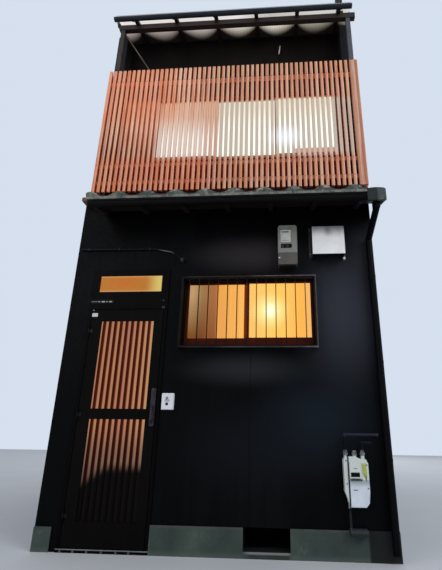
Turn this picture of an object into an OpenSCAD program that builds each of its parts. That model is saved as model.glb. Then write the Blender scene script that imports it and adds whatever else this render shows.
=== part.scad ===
// Two-storey machiya townhouse: black ground floor with a latticed entrance door and a lit window,
// a pantiled hisashi over it, and a balcony behind a full-width timber lattice under a light canopy.
// Millimetres. +Y points from the street into the house, z = 0 is the ground, and the wall face is y = 0
// before the whole house is centred on its own outline by on_site().

/* [House] */
// Width of the house between the outer faces of its side walls
house_w = 2960; // [2800:10:3400]
// Depth from the ground-floor wall face to the back wall face
house_d = 5910; // [5000:10:7200]
// Thickness of the front and back walls
wall_t = 150; // [120:5:180]
// Thickness of the side walls
side_wall_t = 120; // [100:5:150]
// Height of the concrete base above the ground
base_h = 215; // [180:5:300]
// Width of the concrete base left of the entrance
base_left_w = 149; // [120:1:160]
// Height of the concrete base left of the entrance
base_left_h = 182; // [150:1:215]
// How far the concrete base stands out in front of the wall
base_out = 15; // [5:1:40]
// Height of the tops of the ground-floor walls
storey_h = 3200; // [3150:10:3400]
// Thickness of the boarded upper floor
floor_t = 40; // [25:1:60]
// Height of the slab inside the entrance
slab_h = 25; // [15:1:28]
// Width of the under-floor vent in the base
vent_w = 378; // [200:2:450]
// Height of the under-floor vent
vent_h = 168; // [80:2:170]
// Distance of the vent's left side from the middle of the house
vent_x = 250; // [150:5:400]

/* [Entrance] */
// Distance of the hole for the door frame from the house's left face
door_in = 203; // [160:1:240]
// Width of the hole in the wall for the door frame
doorway_w = 770; // [740:2:800]
// Width of the frame's jambs and head as seen from the street
jamb_w = 30; // [24:1:40]
// Depth of the door frame
frame_d = 120; // [100:1:140]
// How far the door frame stands out in front of the wall
frame_out = 12; // [4:1:20]
// Height of the threshold
sill_h = 30; // [29:1:40]
// Height of the top of the door leaf
leaf_top = 2040; // [1990:1:2100]
// Gap between the door leaf and its frame
leaf_gap = 5.5; // [5:0.1:8]
// Thickness of the door leaf
leaf_t = 40; // [34:1:45]
// Width of the leaf's stile on the lock side
stile_w = 85; // [70:1:95]
// Width of the leaf's stile on the hinge side
hinge_stile_w = 105; // [95:1:115]
// Height of the leaf's top rail
top_rail_h = 115; // [90:1:130]
// Height of the leaf's middle rail
mid_rail_h = 90; // [60:1:110]
// Height of the middle rail's lower edge above the ground
mid_rail_z = 1031; // [950:1:1150]
// Height of the leaf's bottom rail
bottom_rail_h = 190; // [150:5:260]
// Number of upright slats in the door
door_slats = 9; // [7:1:11]
// Width of a door slat
door_slat_w = 18; // [12:1:24]
// Height of the bar between the leaf and the transom light
transom_bar_h = 145; // [120:1:170]
// Height of the transom light
transom_h = 230; // [180:5:280]

/* [Ground-floor window] */
// Left side of the window hole, from the middle of the house
window_x = -352; // [-380:1:-300]
// Width of the window hole
window_w = 1242; // [1100:1:1300]
// Distance of the window hole's top below the tops of the walls
window_drop = 867; // [800:1:950]
// Height of the window hole
window_h = 651; // [560:1:700]
// Face width of the window frames
window_frame_w = 12; // [8:1:30]
// Depth of the window frames
window_frame_d = 100; // [90:1:110]
// Number of bars in the window grille
grille_bars = 13; // [9:1:17]
// Distance of the first grille bar from the window hole's left side
grille_left_in = 60; // [30:1:90]
// Distance of the last grille bar from the window hole's right side
grille_right_in = 83; // [30:1:90]
// How far the grille stands in front of the wall
grille_out = 62; // [45:1:90]

/* [Hisashi] */
// Distance of the hisashi's left end from the house's left face
hisashi_left_in = 230; // [150:10:300]
// How far the hisashi's right end stands past the house wall
hisashi_past = 52; // [20:1:80]
// How far the tile edge stands in front of the wall
hisashi_out = 450; // [380:5:520]
// How far the eave tiles' lower edge lies below the upper floor's underside
hisashi_drop = 197; // [190:1:240]
// Rise of the hisashi for each unit of depth
hisashi_pitch = 0.3; // [0.25:0.01:0.33]
// Width that one pantile covers
tile_w = 274; // [240:1:290]
// Height of the pantile wave
tile_wave = 42; // [25:1:45]
// Thickness of the tiles and their bed at the troughs
tile_t = 21; // [15:1:50]
// Step from one course of tiles to the next
tile_step = 12; // [8:1:16]
// Width of the verge tile at the hisashi's right end
verge_w = 165; // [60:1:200]
// How far the verge tile's apron hangs below the eave tiles
verge_drop = 90; // [40:1:110]

/* [Balcony] */
// How far the upper front wall lies behind the ground-floor wall face
balcony_d = 350; // [300:5:500]
// Thickness of the upper front wall
upper_wall_t = 120; // [90:5:150]
// Height of the lattice's slats
lattice_h = 1645; // [1500:5:1800]
// Gap under the lattice's slats
lattice_gap = 65; // [20:1:100]
// Distance of the lattice's left end from the house's left face
lattice_left_in = 80; // [20:1:100]
// Distance of the lattice's right end from the house's right face
lattice_right_in = 4; // [0:1:60]
// Number of upright slats in the front lattice, without its corner board
lattice_slats = 50; // [39:1:53]
// Width of the board at the lattice's right corner
corner_board_w = 88; // [60:1:110]
// Width of a lattice slat
lattice_slat_w = 32; // [22:1:33]
// Thickness of the lattice slats and rails
lattice_t = 25; // [18:1:30]
// Height of a lattice rail
lattice_rail_h = 45; // [30:1:60]
// Side of the square balcony posts
post_w = 50; // [40:1:60]
// Distance of the left post's outer face from the house's left face
post_left_in = 115; // [60:1:150]
// Distance of the right post's outer face from the house's right face
post_right_in = 25; // [25:1:60]

/* [Upper window] */
// Distance of the upper window hole's right side from the right wall's inner face
upper_window_in = 58; // [30:1:120]
// Width of the upper window hole
upper_window_w = 2243; // [1900:1:2300]
// Height of the upper window hole's lower edge above the upper floor
upper_sill_h = 749; // [700:1:900]
// Height of the upper window hole
upper_window_h = 941; // [700:1:980]
// Number of sashes in the upper window
upper_sashes = 3; // [2:1:4]

/* [Canopy] */
// Height of the top of the canopy's beam above the upper floor
canopy_h = 2510; // [2380:5:2560]
// Height of the canopy's beam
beam_h = 74; // [60:1:100]
// Width of the canopy's beam
beam_w = 60; // [50:1:80]
// How far the beam's tip stands past the right wall face
beam_past = 36; // [10:1:50]
// Rise of the canopy for each unit of depth
canopy_pitch = 0.3; // [0.2:0.01:0.32]
// How far the canopy's rafters stand in front of the wall face
canopy_out = 170; // [150:5:240]
// Distance of the canopy's left end from the house's left face
canopy_left_in = 90; // [60:5:110]
// Distance of the canopy's right end from the house's right face
canopy_right_in = 27; // [10:1:60]
// Number of canopy rafters
canopy_rafters_n = 6; // [5:1:8]
// Height of the upright stump on the beam's right end
mast_h = 300; // [100:10:400]
// Width of a rafter
rafter_w = 45; // [35:1:60]
// Height of a rafter
rafter_h = 42; // [30:1:50]
// Thickness of the canopy's sheet
sheet_t = 6; // [4:1:12]

/* [Roof] */
// Rise of the main roof for each unit of depth
roof_pitch = 0.4; // [0.35:0.01:0.45]
// Distance of the main roof's front edge behind the ground-floor wall face
roof_front_y = 60; // [40:5:150]
// Gap between the canopy's sheet and the main roof's front edge
eave_gap = 58; // [40:2:120]
// How far the main roof stands out past the back wall
back_eave = 400; // [300:5:500]
// Thickness of the roof's boarding
deck_t = 30; // [20:1:40]
// Width of the ridge
ridge_w = 220; // [180:5:260]

/* [Fittings] */
// Distance of the electric meter box from the house's right face
meter_in = 735; // [700:1:780]
// Width of the electric meter box
meter_w = 188; // [170:1:210]
// Height of the electric meter box
meter_h = 423; // [380:1:440]
// Depth of the electric meter box
meter_d = 100; // [80:1:140]
// Distance of the vent hood from the house's right face
hood_in = 293; // [260:1:330]
// Width of the vent hood
hood_w = 302; // [250:1:320]
// Height of the vent hood
hood_h = 286; // [240:1:310]
// Depth of the vent hood
hood_d = 150; // [120:1:170]
// Distance of the gas meter from the house's right face
gas_in = 226; // [200:1:260]
// Height of the gas meter's underside
gas_z = 394; // [340:1:460]
// Width of the gas meter
gas_w = 191; // [180:1:230]
// Height of the gas meter
gas_h = 368; // [320:1:400]
// Depth of the gas meter
gas_d = 85; // [70:1:130]
// Height of the intercom's lower edge
intercom_z = 1115; // [1050:5:1300]
// Width of the intercom
intercom_w = 110; // [90:1:120]
// Height of the intercom
intercom_h = 142; // [120:1:160]
// Outer radius of the downpipe
pipe_r = 30; // [24:1:34]

/* [Hidden] */

// Gap left where pieces on different bodies or curved faces meet
seat = 0.3;
// How far the roof tiles run past the boarding that carries them
tile_past = 20;
// A cut runs past the face that it opens by this much
past = 10;

half_w = house_w / 2;
inner_w = house_w - 2 * side_wall_t;
back_wall_y = house_d - wall_t;
doorway_left = -half_w + door_in;
doorway_right = doorway_left + doorway_w;
door_middle = doorway_left + doorway_w / 2;
upper_floor_z = storey_h + floor_t;
window_z = storey_h - window_drop - window_h;

frame_back = frame_d - frame_out;
leaf_y = -frame_out;
leaf_w = doorway_w - 2 * jamb_w - 2 * leaf_gap;
leaf_left = door_middle - leaf_w / 2;
leaf_bottom = sill_h + leaf_gap;
leaf_h = leaf_top - leaf_bottom;
panel_w = leaf_w - hinge_stile_w - stile_w;
panel_left = leaf_left + hinge_stile_w;
panel_right = panel_left + panel_w;
door_slat_pitch = (leaf_w - 2 * stile_w + door_slat_w) / (door_slats + 1);
upper_panel_z = mid_rail_z + mid_rail_h;
upper_panel_h = leaf_top - top_rail_h - upper_panel_z;
lower_panel_z = leaf_bottom + bottom_rail_h;
lower_panel_h = mid_rail_z - lower_panel_z;
hinge_x = leaf_left - leaf_gap / 2;
knuckle_r = 6.5;
knuckle_h = 34;
hinge_pin_r = 3;
hinge_plate_t = 3;
hinge_plate_w = 30;
hinge_y = leaf_y - knuckle_r - seat;
hinge_heights = [for (share = [0.09, 0.49, 0.87]) leaf_bottom + share * leaf_h];
slat_t = 11;
slat_in = 2;
sash_lap = 20;
sash_rim_w = 18;
sash_rail_h = 74;
sash_t = 22;
sash_step = 24;
pane_t = 5;
transom_z = leaf_top + leaf_gap + transom_bar_h;
transom_top = transom_z + transom_h;
doorway_h = transom_top + jamb_w;

hisashi_z = storey_h - hisashi_drop;
hisashi_left = -half_w + hisashi_left_in;
hisashi_right = half_w + hisashi_past;
verge_x = hisashi_right - verge_w;
hisashi_rafters_n = 7;
hisashi_rafter_pitch = (verge_x - hisashi_left - rafter_w) / (hisashi_rafters_n - 1);
hisashi_angle = atan(hisashi_pitch);
// How far the tile courses run past their cut at wall and eave edge
tile_lap = 40;
board_t = 14;
apron_t = 22;
gutter_d = 80;
gutter_wall = 3;
gutter_gap = 2;
gutter_low = 12;
strap_gap = 6;
gutter_y = -hisashi_out + apron_t + gutter_gap + gutter_d / 2;
gutter_z = hisashi_z - gutter_low;
rafter_start_y = gutter_y + gutter_d / 2 + strap_gap;

pipe_in = 15;
pipe_gap = 6;
outlet_in = 26;
pipe_x = half_w - pipe_r - pipe_in;
pipe_y = -base_out - pipe_r - pipe_gap;
outlet_x = hisashi_right - apron_t - pipe_r - outlet_in;

lattice_z = upper_floor_z + lattice_gap;
lattice_top = lattice_z + lattice_h;
lattice_rail_heights = [for (share = [0.06, 0.19, 0.88]) lattice_z + share * lattice_h];
post_y = -post_w;
lattice_rail_y = post_y - lattice_t;
lattice_slat_y = lattice_rail_y - lattice_t;
deck_front_y = lattice_slat_y - 5;
lattice_left = -half_w + lattice_left_in;
lattice_right = half_w - lattice_right_in;
post_left_x = -half_w + post_left_in + post_w / 2;
post_right_x = half_w - post_right_in - post_w / 2;

beam_top = upper_floor_z + canopy_h;
beam_y = post_y - (beam_w - post_w) / 2;
canopy_angle = atan(canopy_pitch);
gutter_w = 64;
rafter_sit = 8;
rafter_left_in = 300;
rafter_right_in = 185;
sheet_past = 8;
gutter_drop = 42;
mast_w = 75;
mast_in = 75;
mast_gap = 4;
return_t = 13;
return_rail_t = 11.7;
canopy_left = -half_w + canopy_left_in;
canopy_right = half_w - canopy_right_in;
mast_x = canopy_right - mast_in - mast_w;
first_rafter_x = -half_w + rafter_left_in;
canopy_rafter_pitch = (house_w - rafter_left_in - rafter_right_in) / (canopy_rafters_n - 1);
upper_window_z = upper_floor_z + upper_sill_h;
upper_window_x = inner_w / 2 - upper_window_in - upper_window_w;

roof_half_run = (house_d + back_eave - roof_front_y) / 2;
ridge_y = roof_front_y + roof_half_run;
roof_back_y = ridge_y + roof_half_run;
roof_angle = atan(roof_pitch);
roof_z = beam_top + canopy_pitch * (roof_front_y - beam_y) - rafter_sit + rafter_h + sheet_t + eave_gap
    + roof_pitch * (balcony_d - roof_front_y);

meter_drop = 332;
hood_drop = 384;
intercom_gap = 18;
conduit_rise = 222;
meter_x = half_w - meter_in - meter_w;
meter_z = storey_h - meter_drop - meter_h;
hood_x = half_w - hood_in - hood_w;
hood_z = storey_h - hood_drop - hood_h;
gas_x = half_w - gas_in - gas_w;
intercom_x = doorway_right + intercom_gap;
conduit_z = doorway_h + conduit_rise;

x_min = -half_w;
x_max = max(half_w + hisashi_past, half_w + beam_past);
y_min = -hisashi_out;
y_max = roof_back_y + tile_past;

// Height of the main roof's underside above a depth y
function roof_under(y) = roof_z + roof_pitch * (min(y, 2 * ridge_y - y) - balcony_d);

// Height of the canopy rafters' underside above a depth y, level with the beam's front top edge
function rafter_under(y) = beam_top + canopy_pitch * (y - beam_y) - rafter_sit;

// Height of the hisashi tiles' underside above a depth y
function tile_under(y) = hisashi_z + hisashi_pitch * (y + hisashi_out);

// Height of one pantile's wave across its width, with a narrow crest and a wide trough
function wave(u) = tile_wave * pow(0.5 + 0.5 * cos(360 * u), 1.5);

// Moves the house so that its outline is centred on the origin
module on_site() translate([-(x_min + x_max) / 2, -(y_min + y_max) / 2, 0]) children();

// Extrudes an outline drawn in depth and height across the house from x0 to x1
module across(x0, x1) translate([x0, 0, 0]) rotate([90, 0, 90]) linear_extrude(x1 - x0) children();

// A box given by its lowest corner and its highest corner
module block(low, high) translate(low) cube(high - low);

// Extrudes an outline drawn in width and height from depth y0 back to depth y1
module facing(y0, y1) translate([0, y1, 0]) rotate([90, 0, 0]) linear_extrude(y1 - y0) children();

// Rectangle with round corners, from its lower left corner
module rounded(w, h, r) {
    translate([r, 0]) square([w - 2 * r, h]);
    translate([0, r]) square([w, h - 2 * r]);
    for (x = [r, w - r]) for (z = [r, h - r]) translate([x, z]) circle(r = r, $fn = 32);
}

// Round bar from point a to point b
module rod(a, b, r) {
    v = b - a;
    translate(a) rotate([0, acos(v[2] / norm(v)), atan2(v[1], v[0])]) cylinder(h = norm(v), r = r, $fn = 32);
}

module foundation() color("#6b6d68") on_site() difference() {
    block([-half_w, -base_out, 0], [half_w, house_d, base_h]);
    block([-half_w + side_wall_t, wall_t, -past], [half_w - side_wall_t, back_wall_y, base_h + past]);
    block([-half_w + base_left_w, -base_out - past, -past], [doorway_right, wall_t + past, base_h + past]);
    block([-half_w - past, -base_out - past, base_left_h], [doorway_left, wall_t, base_h + past]);
    block([vent_x, -base_out - past, base_h - vent_h], [vent_x + vent_w, wall_t + past, base_h + past]);
}

module ground_floor() color("#55524c") on_site() union() {
    block([-half_w + side_wall_t, wall_t, 0], [half_w - side_wall_t, back_wall_y, slab_h]);
    block([doorway_left, frame_back, 0], [doorway_right, wall_t, slab_h]);
}

module front_wall_left() color("#1f2023") on_site() union() {
    block([-half_w, 0, base_left_h], [doorway_left, wall_t, storey_h]);
    block([-half_w + base_left_w, 0, 0], [doorway_left, wall_t, base_left_h + past]);
}

module front_wall_over_door() color("#1f2023") on_site()
    block([doorway_left, 0, doorway_h], [doorway_right, wall_t, storey_h]);

module front_wall_right() color("#1f2023") on_site() difference() {
    block([doorway_right, 0, base_h], [half_w, wall_t, storey_h]);
    block([window_x, -past, window_z], [window_x + window_w, wall_t + past, window_z + window_h]);
}

// Side wall from the front wall's back face to the back wall, cut to the roof's slopes
module side_wall(x0) across(x0, x0 + side_wall_t) polygon([
    [wall_t, base_h], [back_wall_y, base_h], [back_wall_y, roof_under(back_wall_y)],
    [ridge_y, roof_under(ridge_y)], [balcony_d, roof_under(balcony_d)],
    [balcony_d, rafter_under(balcony_d)], [wall_t, rafter_under(wall_t)]
]);

module left_party_wall() color("#232427") on_site() side_wall(-half_w);

module right_side_wall() color("#232427") on_site() side_wall(half_w - side_wall_t);

module back_wall() color("#232427") on_site() difference() {
    across(-half_w, half_w) polygon([
        [back_wall_y, base_h], [house_d, base_h],
        [house_d, roof_under(house_d)], [back_wall_y, roof_under(back_wall_y)]
    ]);
    for (z = [window_z, upper_window_z])
        block([window_x, back_wall_y - past, z], [window_x + window_w, house_d + past, z + window_h]);
}

module upper_floor() color("#5b4632") on_site()
    block([-inner_w / 2, balcony_d, storey_h], [inner_w / 2, back_wall_y, upper_floor_z]);

module upper_front_wall() color("#2b2723") on_site() difference() {
    across(-inner_w / 2, inner_w / 2) polygon([
        [balcony_d, upper_floor_z], [balcony_d + upper_wall_t, upper_floor_z],
        [balcony_d + upper_wall_t, roof_under(balcony_d + upper_wall_t)], [balcony_d, roof_under(balcony_d)]
    ]);
    block([upper_window_x, balcony_d - past, upper_window_z],
        [upper_window_x + upper_window_w, balcony_d + upper_wall_t + past, upper_window_z + upper_window_h]);
}

// Frame round the doorway, with the threshold below and the bar between the leaf and the transom light
module door_frame() color("#1b1b1d") on_site() {
    difference() {
        block([doorway_left, -frame_out, 0], [doorway_right, frame_back, doorway_h]);
        block([doorway_left + jamb_w, -frame_out - past, sill_h],
            [doorway_right - jamb_w, frame_back + past, leaf_top + leaf_gap]);
        block([doorway_left + jamb_w, -frame_out - past, transom_z],
            [doorway_right - jamb_w, frame_back + past, transom_top]);
    }
    for (z = hinge_heights) frame_hinge_half(z);
}

// Half of a butt hinge on the jamb: its plate, the two outer knuckles and the pin through all three
module frame_hinge_half(z) {
    block([hinge_x - hinge_plate_w, -frame_out - hinge_plate_t, z], [hinge_x, -frame_out, z + knuckle_h]);
    block([hinge_x - hinge_plate_w, -frame_out - hinge_plate_t, z + 2 * knuckle_h + 2 * seat],
        [hinge_x, -frame_out, z + 3 * knuckle_h + 2 * seat]);
    for (k = [z, z + 2 * knuckle_h + 2 * seat])
        translate([hinge_x, hinge_y, k]) cylinder(h = knuckle_h, r = knuckle_r, $fn = 32);
    translate([hinge_x, hinge_y, z]) cylinder(h = 3 * knuckle_h + 2 * seat, r = hinge_pin_r, $fn = 32);
}

// Half of a butt hinge on the door leaf: its plate and the middle knuckle, bored for the pin
module leaf_hinge_half(z) difference() {
    union() {
        block([leaf_left, leaf_y - hinge_plate_t, z + knuckle_h + seat],
            [leaf_left + hinge_plate_w, leaf_y, z + 2 * knuckle_h + seat]);
        block([hinge_x, leaf_y - hinge_plate_t, z + knuckle_h + seat],
            [leaf_left + seat, leaf_y - seat, z + 2 * knuckle_h + seat]);
        translate([hinge_x, hinge_y, z + knuckle_h + seat]) cylinder(h = knuckle_h, r = knuckle_r, $fn = 32);
    }
    translate([hinge_x, hinge_y, z]) cylinder(h = 3 * knuckle_h, r = hinge_pin_r + seat, $fn = 32);
}

// Fixed light over the door: a slim sash with a glass pane let into it
module transom_light() color("#e0983c") on_site() {
    rim = 45;
    sash_rim = 32;
    pane_y = leaf_y + leaf_t / 3;
    left = doorway_left + jamb_w;
    right = doorway_right - jamb_w;
    difference() {
        block([left, leaf_y, transom_z], [right, leaf_y + leaf_t, transom_top]);
        block([left + rim, leaf_y - past, transom_z + sash_rim], [right - rim, pane_y, transom_top - sash_rim]);
        block([left + rim, pane_y + pane_t, transom_z + sash_rim],
            [right - rim, leaf_y + leaf_t + past, transom_top - sash_rim]);
    }
}

module door_leaf() color("#1d1c1c") on_site() difference() {
    block([leaf_left, leaf_y, leaf_bottom], [leaf_left + leaf_w, leaf_y + leaf_t, leaf_top]);
    for (panel = [[upper_panel_z, upper_panel_h], [lower_panel_z, lower_panel_h]])
        block([panel_left, leaf_y - past, panel[0]],
            [panel_left + panel_w, leaf_y + leaf_t + past, panel[0] + panel[1]]);
}

// Upright slats in front of the panes, in both panels of the leaf
module door_lattice() color("#261f1c") on_site()
    for (panel = [[upper_panel_z, upper_panel_h], [lower_panel_z, lower_panel_h]])
        for (i = [1 : door_slats])
            translate([panel_right - i * door_slat_pitch, leaf_y + slat_in, panel[0]])
                cube([door_slat_w, slat_t, panel[1]]);

module door_glass() color("#d9b98a") on_site()
    for (panel = [[upper_panel_z, upper_panel_h], [lower_panel_z, lower_panel_h]])
        translate([panel_left, leaf_y + slat_in + slat_t, panel[0]]) cube([panel_w, pane_t, panel[1]]);

// Lock cylinder, thumb latch and pull handle on one long plate, and the leaf's hinge halves
module door_fittings() color("#6f675c") on_site() {
    plate_w = 44;
    plate_h = 326;
    plate_t = 8;
    rim = 3;
    grip_out = 38;
    grip_r = 9;
    grip_low = 56;
    grip_high = 150;
    cylinder_z = 288;
    plate_x = leaf_left + leaf_w - plate_w - 2;
    plate_z = mid_rail_z - 57;
    middle = plate_x + plate_w / 2;
    face = leaf_y - plate_t;
    facing(face, leaf_y) translate([plate_x, plate_z]) rounded(plate_w, plate_h, 10);
    for (part = [[0, 124], [140, 84], [252, 74]])
        facing(face - plate_t, face) translate([plate_x + rim, plate_z + part[0] + 2])
            rounded(plate_w - 2 * rim, part[1] - 4, 8);
    translate([middle, face - plate_t, plate_z + cylinder_z]) rotate([90, 0, 0])
        cylinder(h = 10, r = 17, $fn = 32);
    rod([middle, face, plate_z + grip_low - 26], [middle, face - grip_out, plate_z + grip_low], grip_r);
    rod([middle, face - grip_out, plate_z + grip_low], [middle, face - grip_out, plate_z + grip_high], grip_r);
    rod([middle, face - grip_out, plate_z + grip_high], [middle, face, plate_z + grip_high + 28], grip_r);
    for (z = [grip_low, grip_high])
        translate([middle, face - grip_out, plate_z + z]) sphere(r = grip_r + 1, $fn = 32);
    for (z = hinge_heights) leaf_hinge_half(z);
}

// Picture-frame outline in the plane of a wall, from y0 to y1
module wall_frame(x, z, w, h, face, y0, y1) difference() {
    block([x, y0, z], [x + w, y1, z + h]);
    block([x + face, y0 - past, z + face], [x + w - face, y1 + past, z + h - face]);
}

// A row of sliding sashes that lap at their meeting stiles, every other one in front
module sash_row(x, z, w, h, y, count) {
    sash_w = (w + (count - 1) * sash_lap) / count;
    for (i = [0 : count - 1]) {
        left = x + i * (sash_w - sash_lap);
        front = y + (count - 1 - i) % 2 * sash_step;
        difference() {
            block([left, front, z], [left + sash_w, front + sash_t, z + h]);
            block([left + sash_rim_w, front - past, z + sash_rail_h],
                [left + sash_w - sash_rim_w, front + sash_t + past, z + h - sash_rim_w]);
        }
    }
}

// The panes of a row of sliding sashes
module pane_row(x, z, w, h, y, count) {
    sash_w = (w + (count - 1) * sash_lap) / count;
    for (i = [0 : count - 1]) {
        left = x + i * (sash_w - sash_lap) + sash_rim_w;
        front = y + (count - 1 - i) % 2 * sash_step + 9;
        block([left, front, z + sash_rail_h], [left + sash_w - 2 * sash_rim_w, front + 4, z + h - sash_rim_w]);
    }
}

module window_frame() color("#1e1e20") on_site()
    wall_frame(window_x, window_z, window_w, window_h, window_frame_w, -8, window_frame_d);

module window_sashes() color("#2a2320") on_site()
    sash_row(window_x + window_frame_w, window_z + window_frame_w,
        window_w - 2 * window_frame_w, window_h - 2 * window_frame_w, sash_step, 2);

module window_glass() color("#f0b04a") on_site()
    pane_row(window_x + window_frame_w, window_z + window_frame_w,
        window_w - 2 * window_frame_w, window_h - 2 * window_frame_w, sash_step, 2);

// Grille of upright bars between two rails, on brackets that reach back to the wall
module window_grille() color("#1b1b1c") on_site() {
    reach = 21;
    rail = 20;
    rail_t = 16;
    bar = 9;
    x0 = window_x - reach;
    x1 = window_x + window_w + reach;
    z0 = window_z - reach;
    z1 = window_z + window_h + reach;
    pitch = (window_w - grille_left_in - grille_right_in) / (grille_bars - 1);
    for (z = [z0, z1 - rail]) block([x0, -grille_out, z], [x1, -grille_out + rail_t, z + rail]);
    for (i = [0 : grille_bars - 1]) {
        x = window_x + grille_left_in + i * pitch;
        block([x - bar / 2, -grille_out + 3, z0 + rail], [x + bar / 2, -grille_out + 3 + bar, z1 - rail]);
    }
    for (x = [x0, x1 - rail]) {
        block([x, -grille_out, z0], [x + rail, -grille_out + rail_t, z1]);
        for (z = [z0, z1 - rail]) block([x, -grille_out, z], [x + rail, 0, z + rail]);
    }
}

module upper_window_frame() color("#3a332c") on_site()
    wall_frame(upper_window_x, upper_window_z, upper_window_w, upper_window_h, window_frame_w,
        balcony_d - 6, balcony_d + window_frame_d);

module upper_window_sashes() color("#4a3f36") on_site()
    sash_row(upper_window_x + window_frame_w, upper_window_z + window_frame_w,
        upper_window_w - 2 * window_frame_w, upper_window_h - 2 * window_frame_w,
        balcony_d + sash_step, upper_sashes);

module upper_window_glass() color("#fff1d0") on_site()
    pane_row(upper_window_x + window_frame_w, upper_window_z + window_frame_w,
        upper_window_w - 2 * window_frame_w, upper_window_h - 2 * window_frame_w,
        balcony_d + sash_step, upper_sashes);

module back_window_frames() color("#2a2624") on_site()
    for (z = [window_z, upper_window_z]) {
        wall_frame(window_x, z, window_w, window_h, window_frame_w, house_d - window_frame_d, house_d + 8);
        translate([0, 2 * house_d, 0]) mirror([0, 1, 0])
            sash_row(window_x + window_frame_w, z + window_frame_w,
                window_w - 2 * window_frame_w, window_h - 2 * window_frame_w, house_d + sash_step, 2);
    }

module back_window_glass() color("#8d9a9c") on_site()
    for (z = [window_z, upper_window_z])
        translate([0, 2 * house_d, 0]) mirror([0, 1, 0])
            pane_row(window_x + window_frame_w, z + window_frame_w,
                window_w - 2 * window_frame_w, window_h - 2 * window_frame_w, house_d + sash_step, 2);

// Outline of a row of pantiles: a flat underside and a wave for each tile on top. Crests stand one tile
// apart, the first of them phase past the right end.
module tile_row(w, thick, phase) {
    step = tile_w / 12;
    top = [for (i = [0 : ceil(w / step)])
        let (x = max(0, w - i * step)) [x, thick + wave((w - x + phase) / tile_w)]];
    polygon(concat([[0, 0], [w, 0]], top));
}

// Sloped field of pantiles that runs down towards the street from its top edge at the origin
module tile_field(w, thick, run, phase) rotate([90, 0, 0]) linear_extrude(run) tile_row(w, thick, phase);

// Rafters and boarding that carry the hisashi
module hisashi_frame() color("#2a2420") on_site() {
    board_y = -hisashi_out + apron_t;
    across(hisashi_left, verge_x) polygon([
        [board_y, tile_under(board_y) - board_t], [0, tile_under(0) - board_t],
        [0, tile_under(0)], [board_y, tile_under(board_y)]
    ]);
    for (i = [0 : hisashi_rafters_n - 1]) {
        x = hisashi_left + i * hisashi_rafter_pitch;
        across(x, x + rafter_w) polygon([
            [rafter_start_y, tile_under(rafter_start_y) - board_t - rafter_h],
            [0, tile_under(0) - board_t - rafter_h],
            [0, tile_under(0) - board_t], [rafter_start_y, tile_under(rafter_start_y) - board_t]
        ]);
    }
}

// Two courses of pantiles, the upper lapping the lower, with an apron under the eave edge and a verge
// tile whose aprons close the right end
module hisashi_tiles() color("#7d857c") on_site() {
    run = hisashi_out / cos(hisashi_angle);
    course = run / 2;
    for (i = [0, 1]) intersection() {
        translate([hisashi_left, 0, tile_under(0) + seat]) rotate([hisashi_angle, 0, 0])
            translate([0, i * tile_lap - (1 - i) * (course + seat), 0])
                tile_field(verge_x - hisashi_left, tile_t + i * tile_step, course + tile_lap, verge_w);
        block([hisashi_left, -hisashi_out, 0], [verge_x, 0, storey_h - seat]);
    }
    verge_top = tile_t + tile_wave / 2;
    across(verge_x + seat, hisashi_right) polygon([
        [-hisashi_out, hisashi_z], [0, tile_under(0)],
        [0, min(tile_under(0) + verge_top, storey_h - seat)], [-hisashi_out, hisashi_z + verge_top]
    ]);
    across(hisashi_right - apron_t, hisashi_right) polygon([
        [-hisashi_out, hisashi_z - verge_drop], [0, tile_under(0) - verge_drop],
        [0, tile_under(0)], [-hisashi_out, hisashi_z]
    ]);
    block([verge_x + seat, -hisashi_out, hisashi_z - verge_drop],
        [hisashi_right, -hisashi_out + apron_t, hisashi_z + verge_top / 2]);
}

// Half-round gutter behind the eave edge, on straps from the rafters
module hisashi_gutter() color("#26282a") on_site() {
    left = hisashi_left + 2;
    right = hisashi_right - apron_t - seat;
    translate([0, gutter_y, gutter_z]) difference() {
        translate([left, 0, 0]) rotate([0, 90, 0]) cylinder(h = right - left, r = gutter_d / 2, $fn = 48);
        translate([left + gutter_wall, 0, 0]) rotate([0, 90, 0])
            cylinder(h = right - left - 2 * gutter_wall, r = gutter_d / 2 - gutter_wall, $fn = 48);
        block([left - past, -gutter_d, 0], [right + past, gutter_d, gutter_d]);
    }
    for (i = [0 : hisashi_rafters_n - 1]) {
        x = hisashi_left + 4 + i * hisashi_rafter_pitch;
        block([x, gutter_y + gutter_d / 2 - gutter_wall, gutter_z - 16],
            [x + rafter_w - 8, rafter_start_y, gutter_z]);
    }
}

// Pipe from the gutter's outlet back to the wall and down the corner, held by clamps
module downpipe() color("#1c1d1f") on_site() {
    neck = 68;
    fall = 0.5;
    foot_z = 60;
    outlet_z = gutter_z - gutter_d / 2 - seat;
    bend_z = outlet_z - neck;
    wall_z = bend_z - fall * (pipe_y - gutter_y);
    rod([outlet_x, gutter_y, bend_z], [outlet_x, gutter_y, outlet_z], pipe_r);
    rod([outlet_x, gutter_y, bend_z], [pipe_x, pipe_y, wall_z], pipe_r);
    for (joint = [[outlet_x, gutter_y, bend_z], [pipe_x, pipe_y, wall_z]])
        translate(joint) sphere(r = pipe_r + 2, $fn = 32);
    rod([pipe_x, pipe_y, foot_z], [pipe_x, pipe_y, wall_z], pipe_r);
    for (z = [0.25, 0.55, 0.85]) translate([pipe_x, 0, foot_z + z * (wall_z - foot_z)]) {
        translate([0, pipe_y, 0]) cylinder(h = 24, r = pipe_r + 3, $fn = 32);
        block([-7, pipe_y, 6], [7, 0, 18]);
    }
}

module balcony_deck() color("#4a3c2e") on_site() union() {
    block([-half_w, deck_front_y, storey_h], [half_w, wall_t, upper_floor_z]);
    block([-inner_w / 2, wall_t, storey_h], [inner_w / 2, balcony_d, upper_floor_z]);
}

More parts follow.
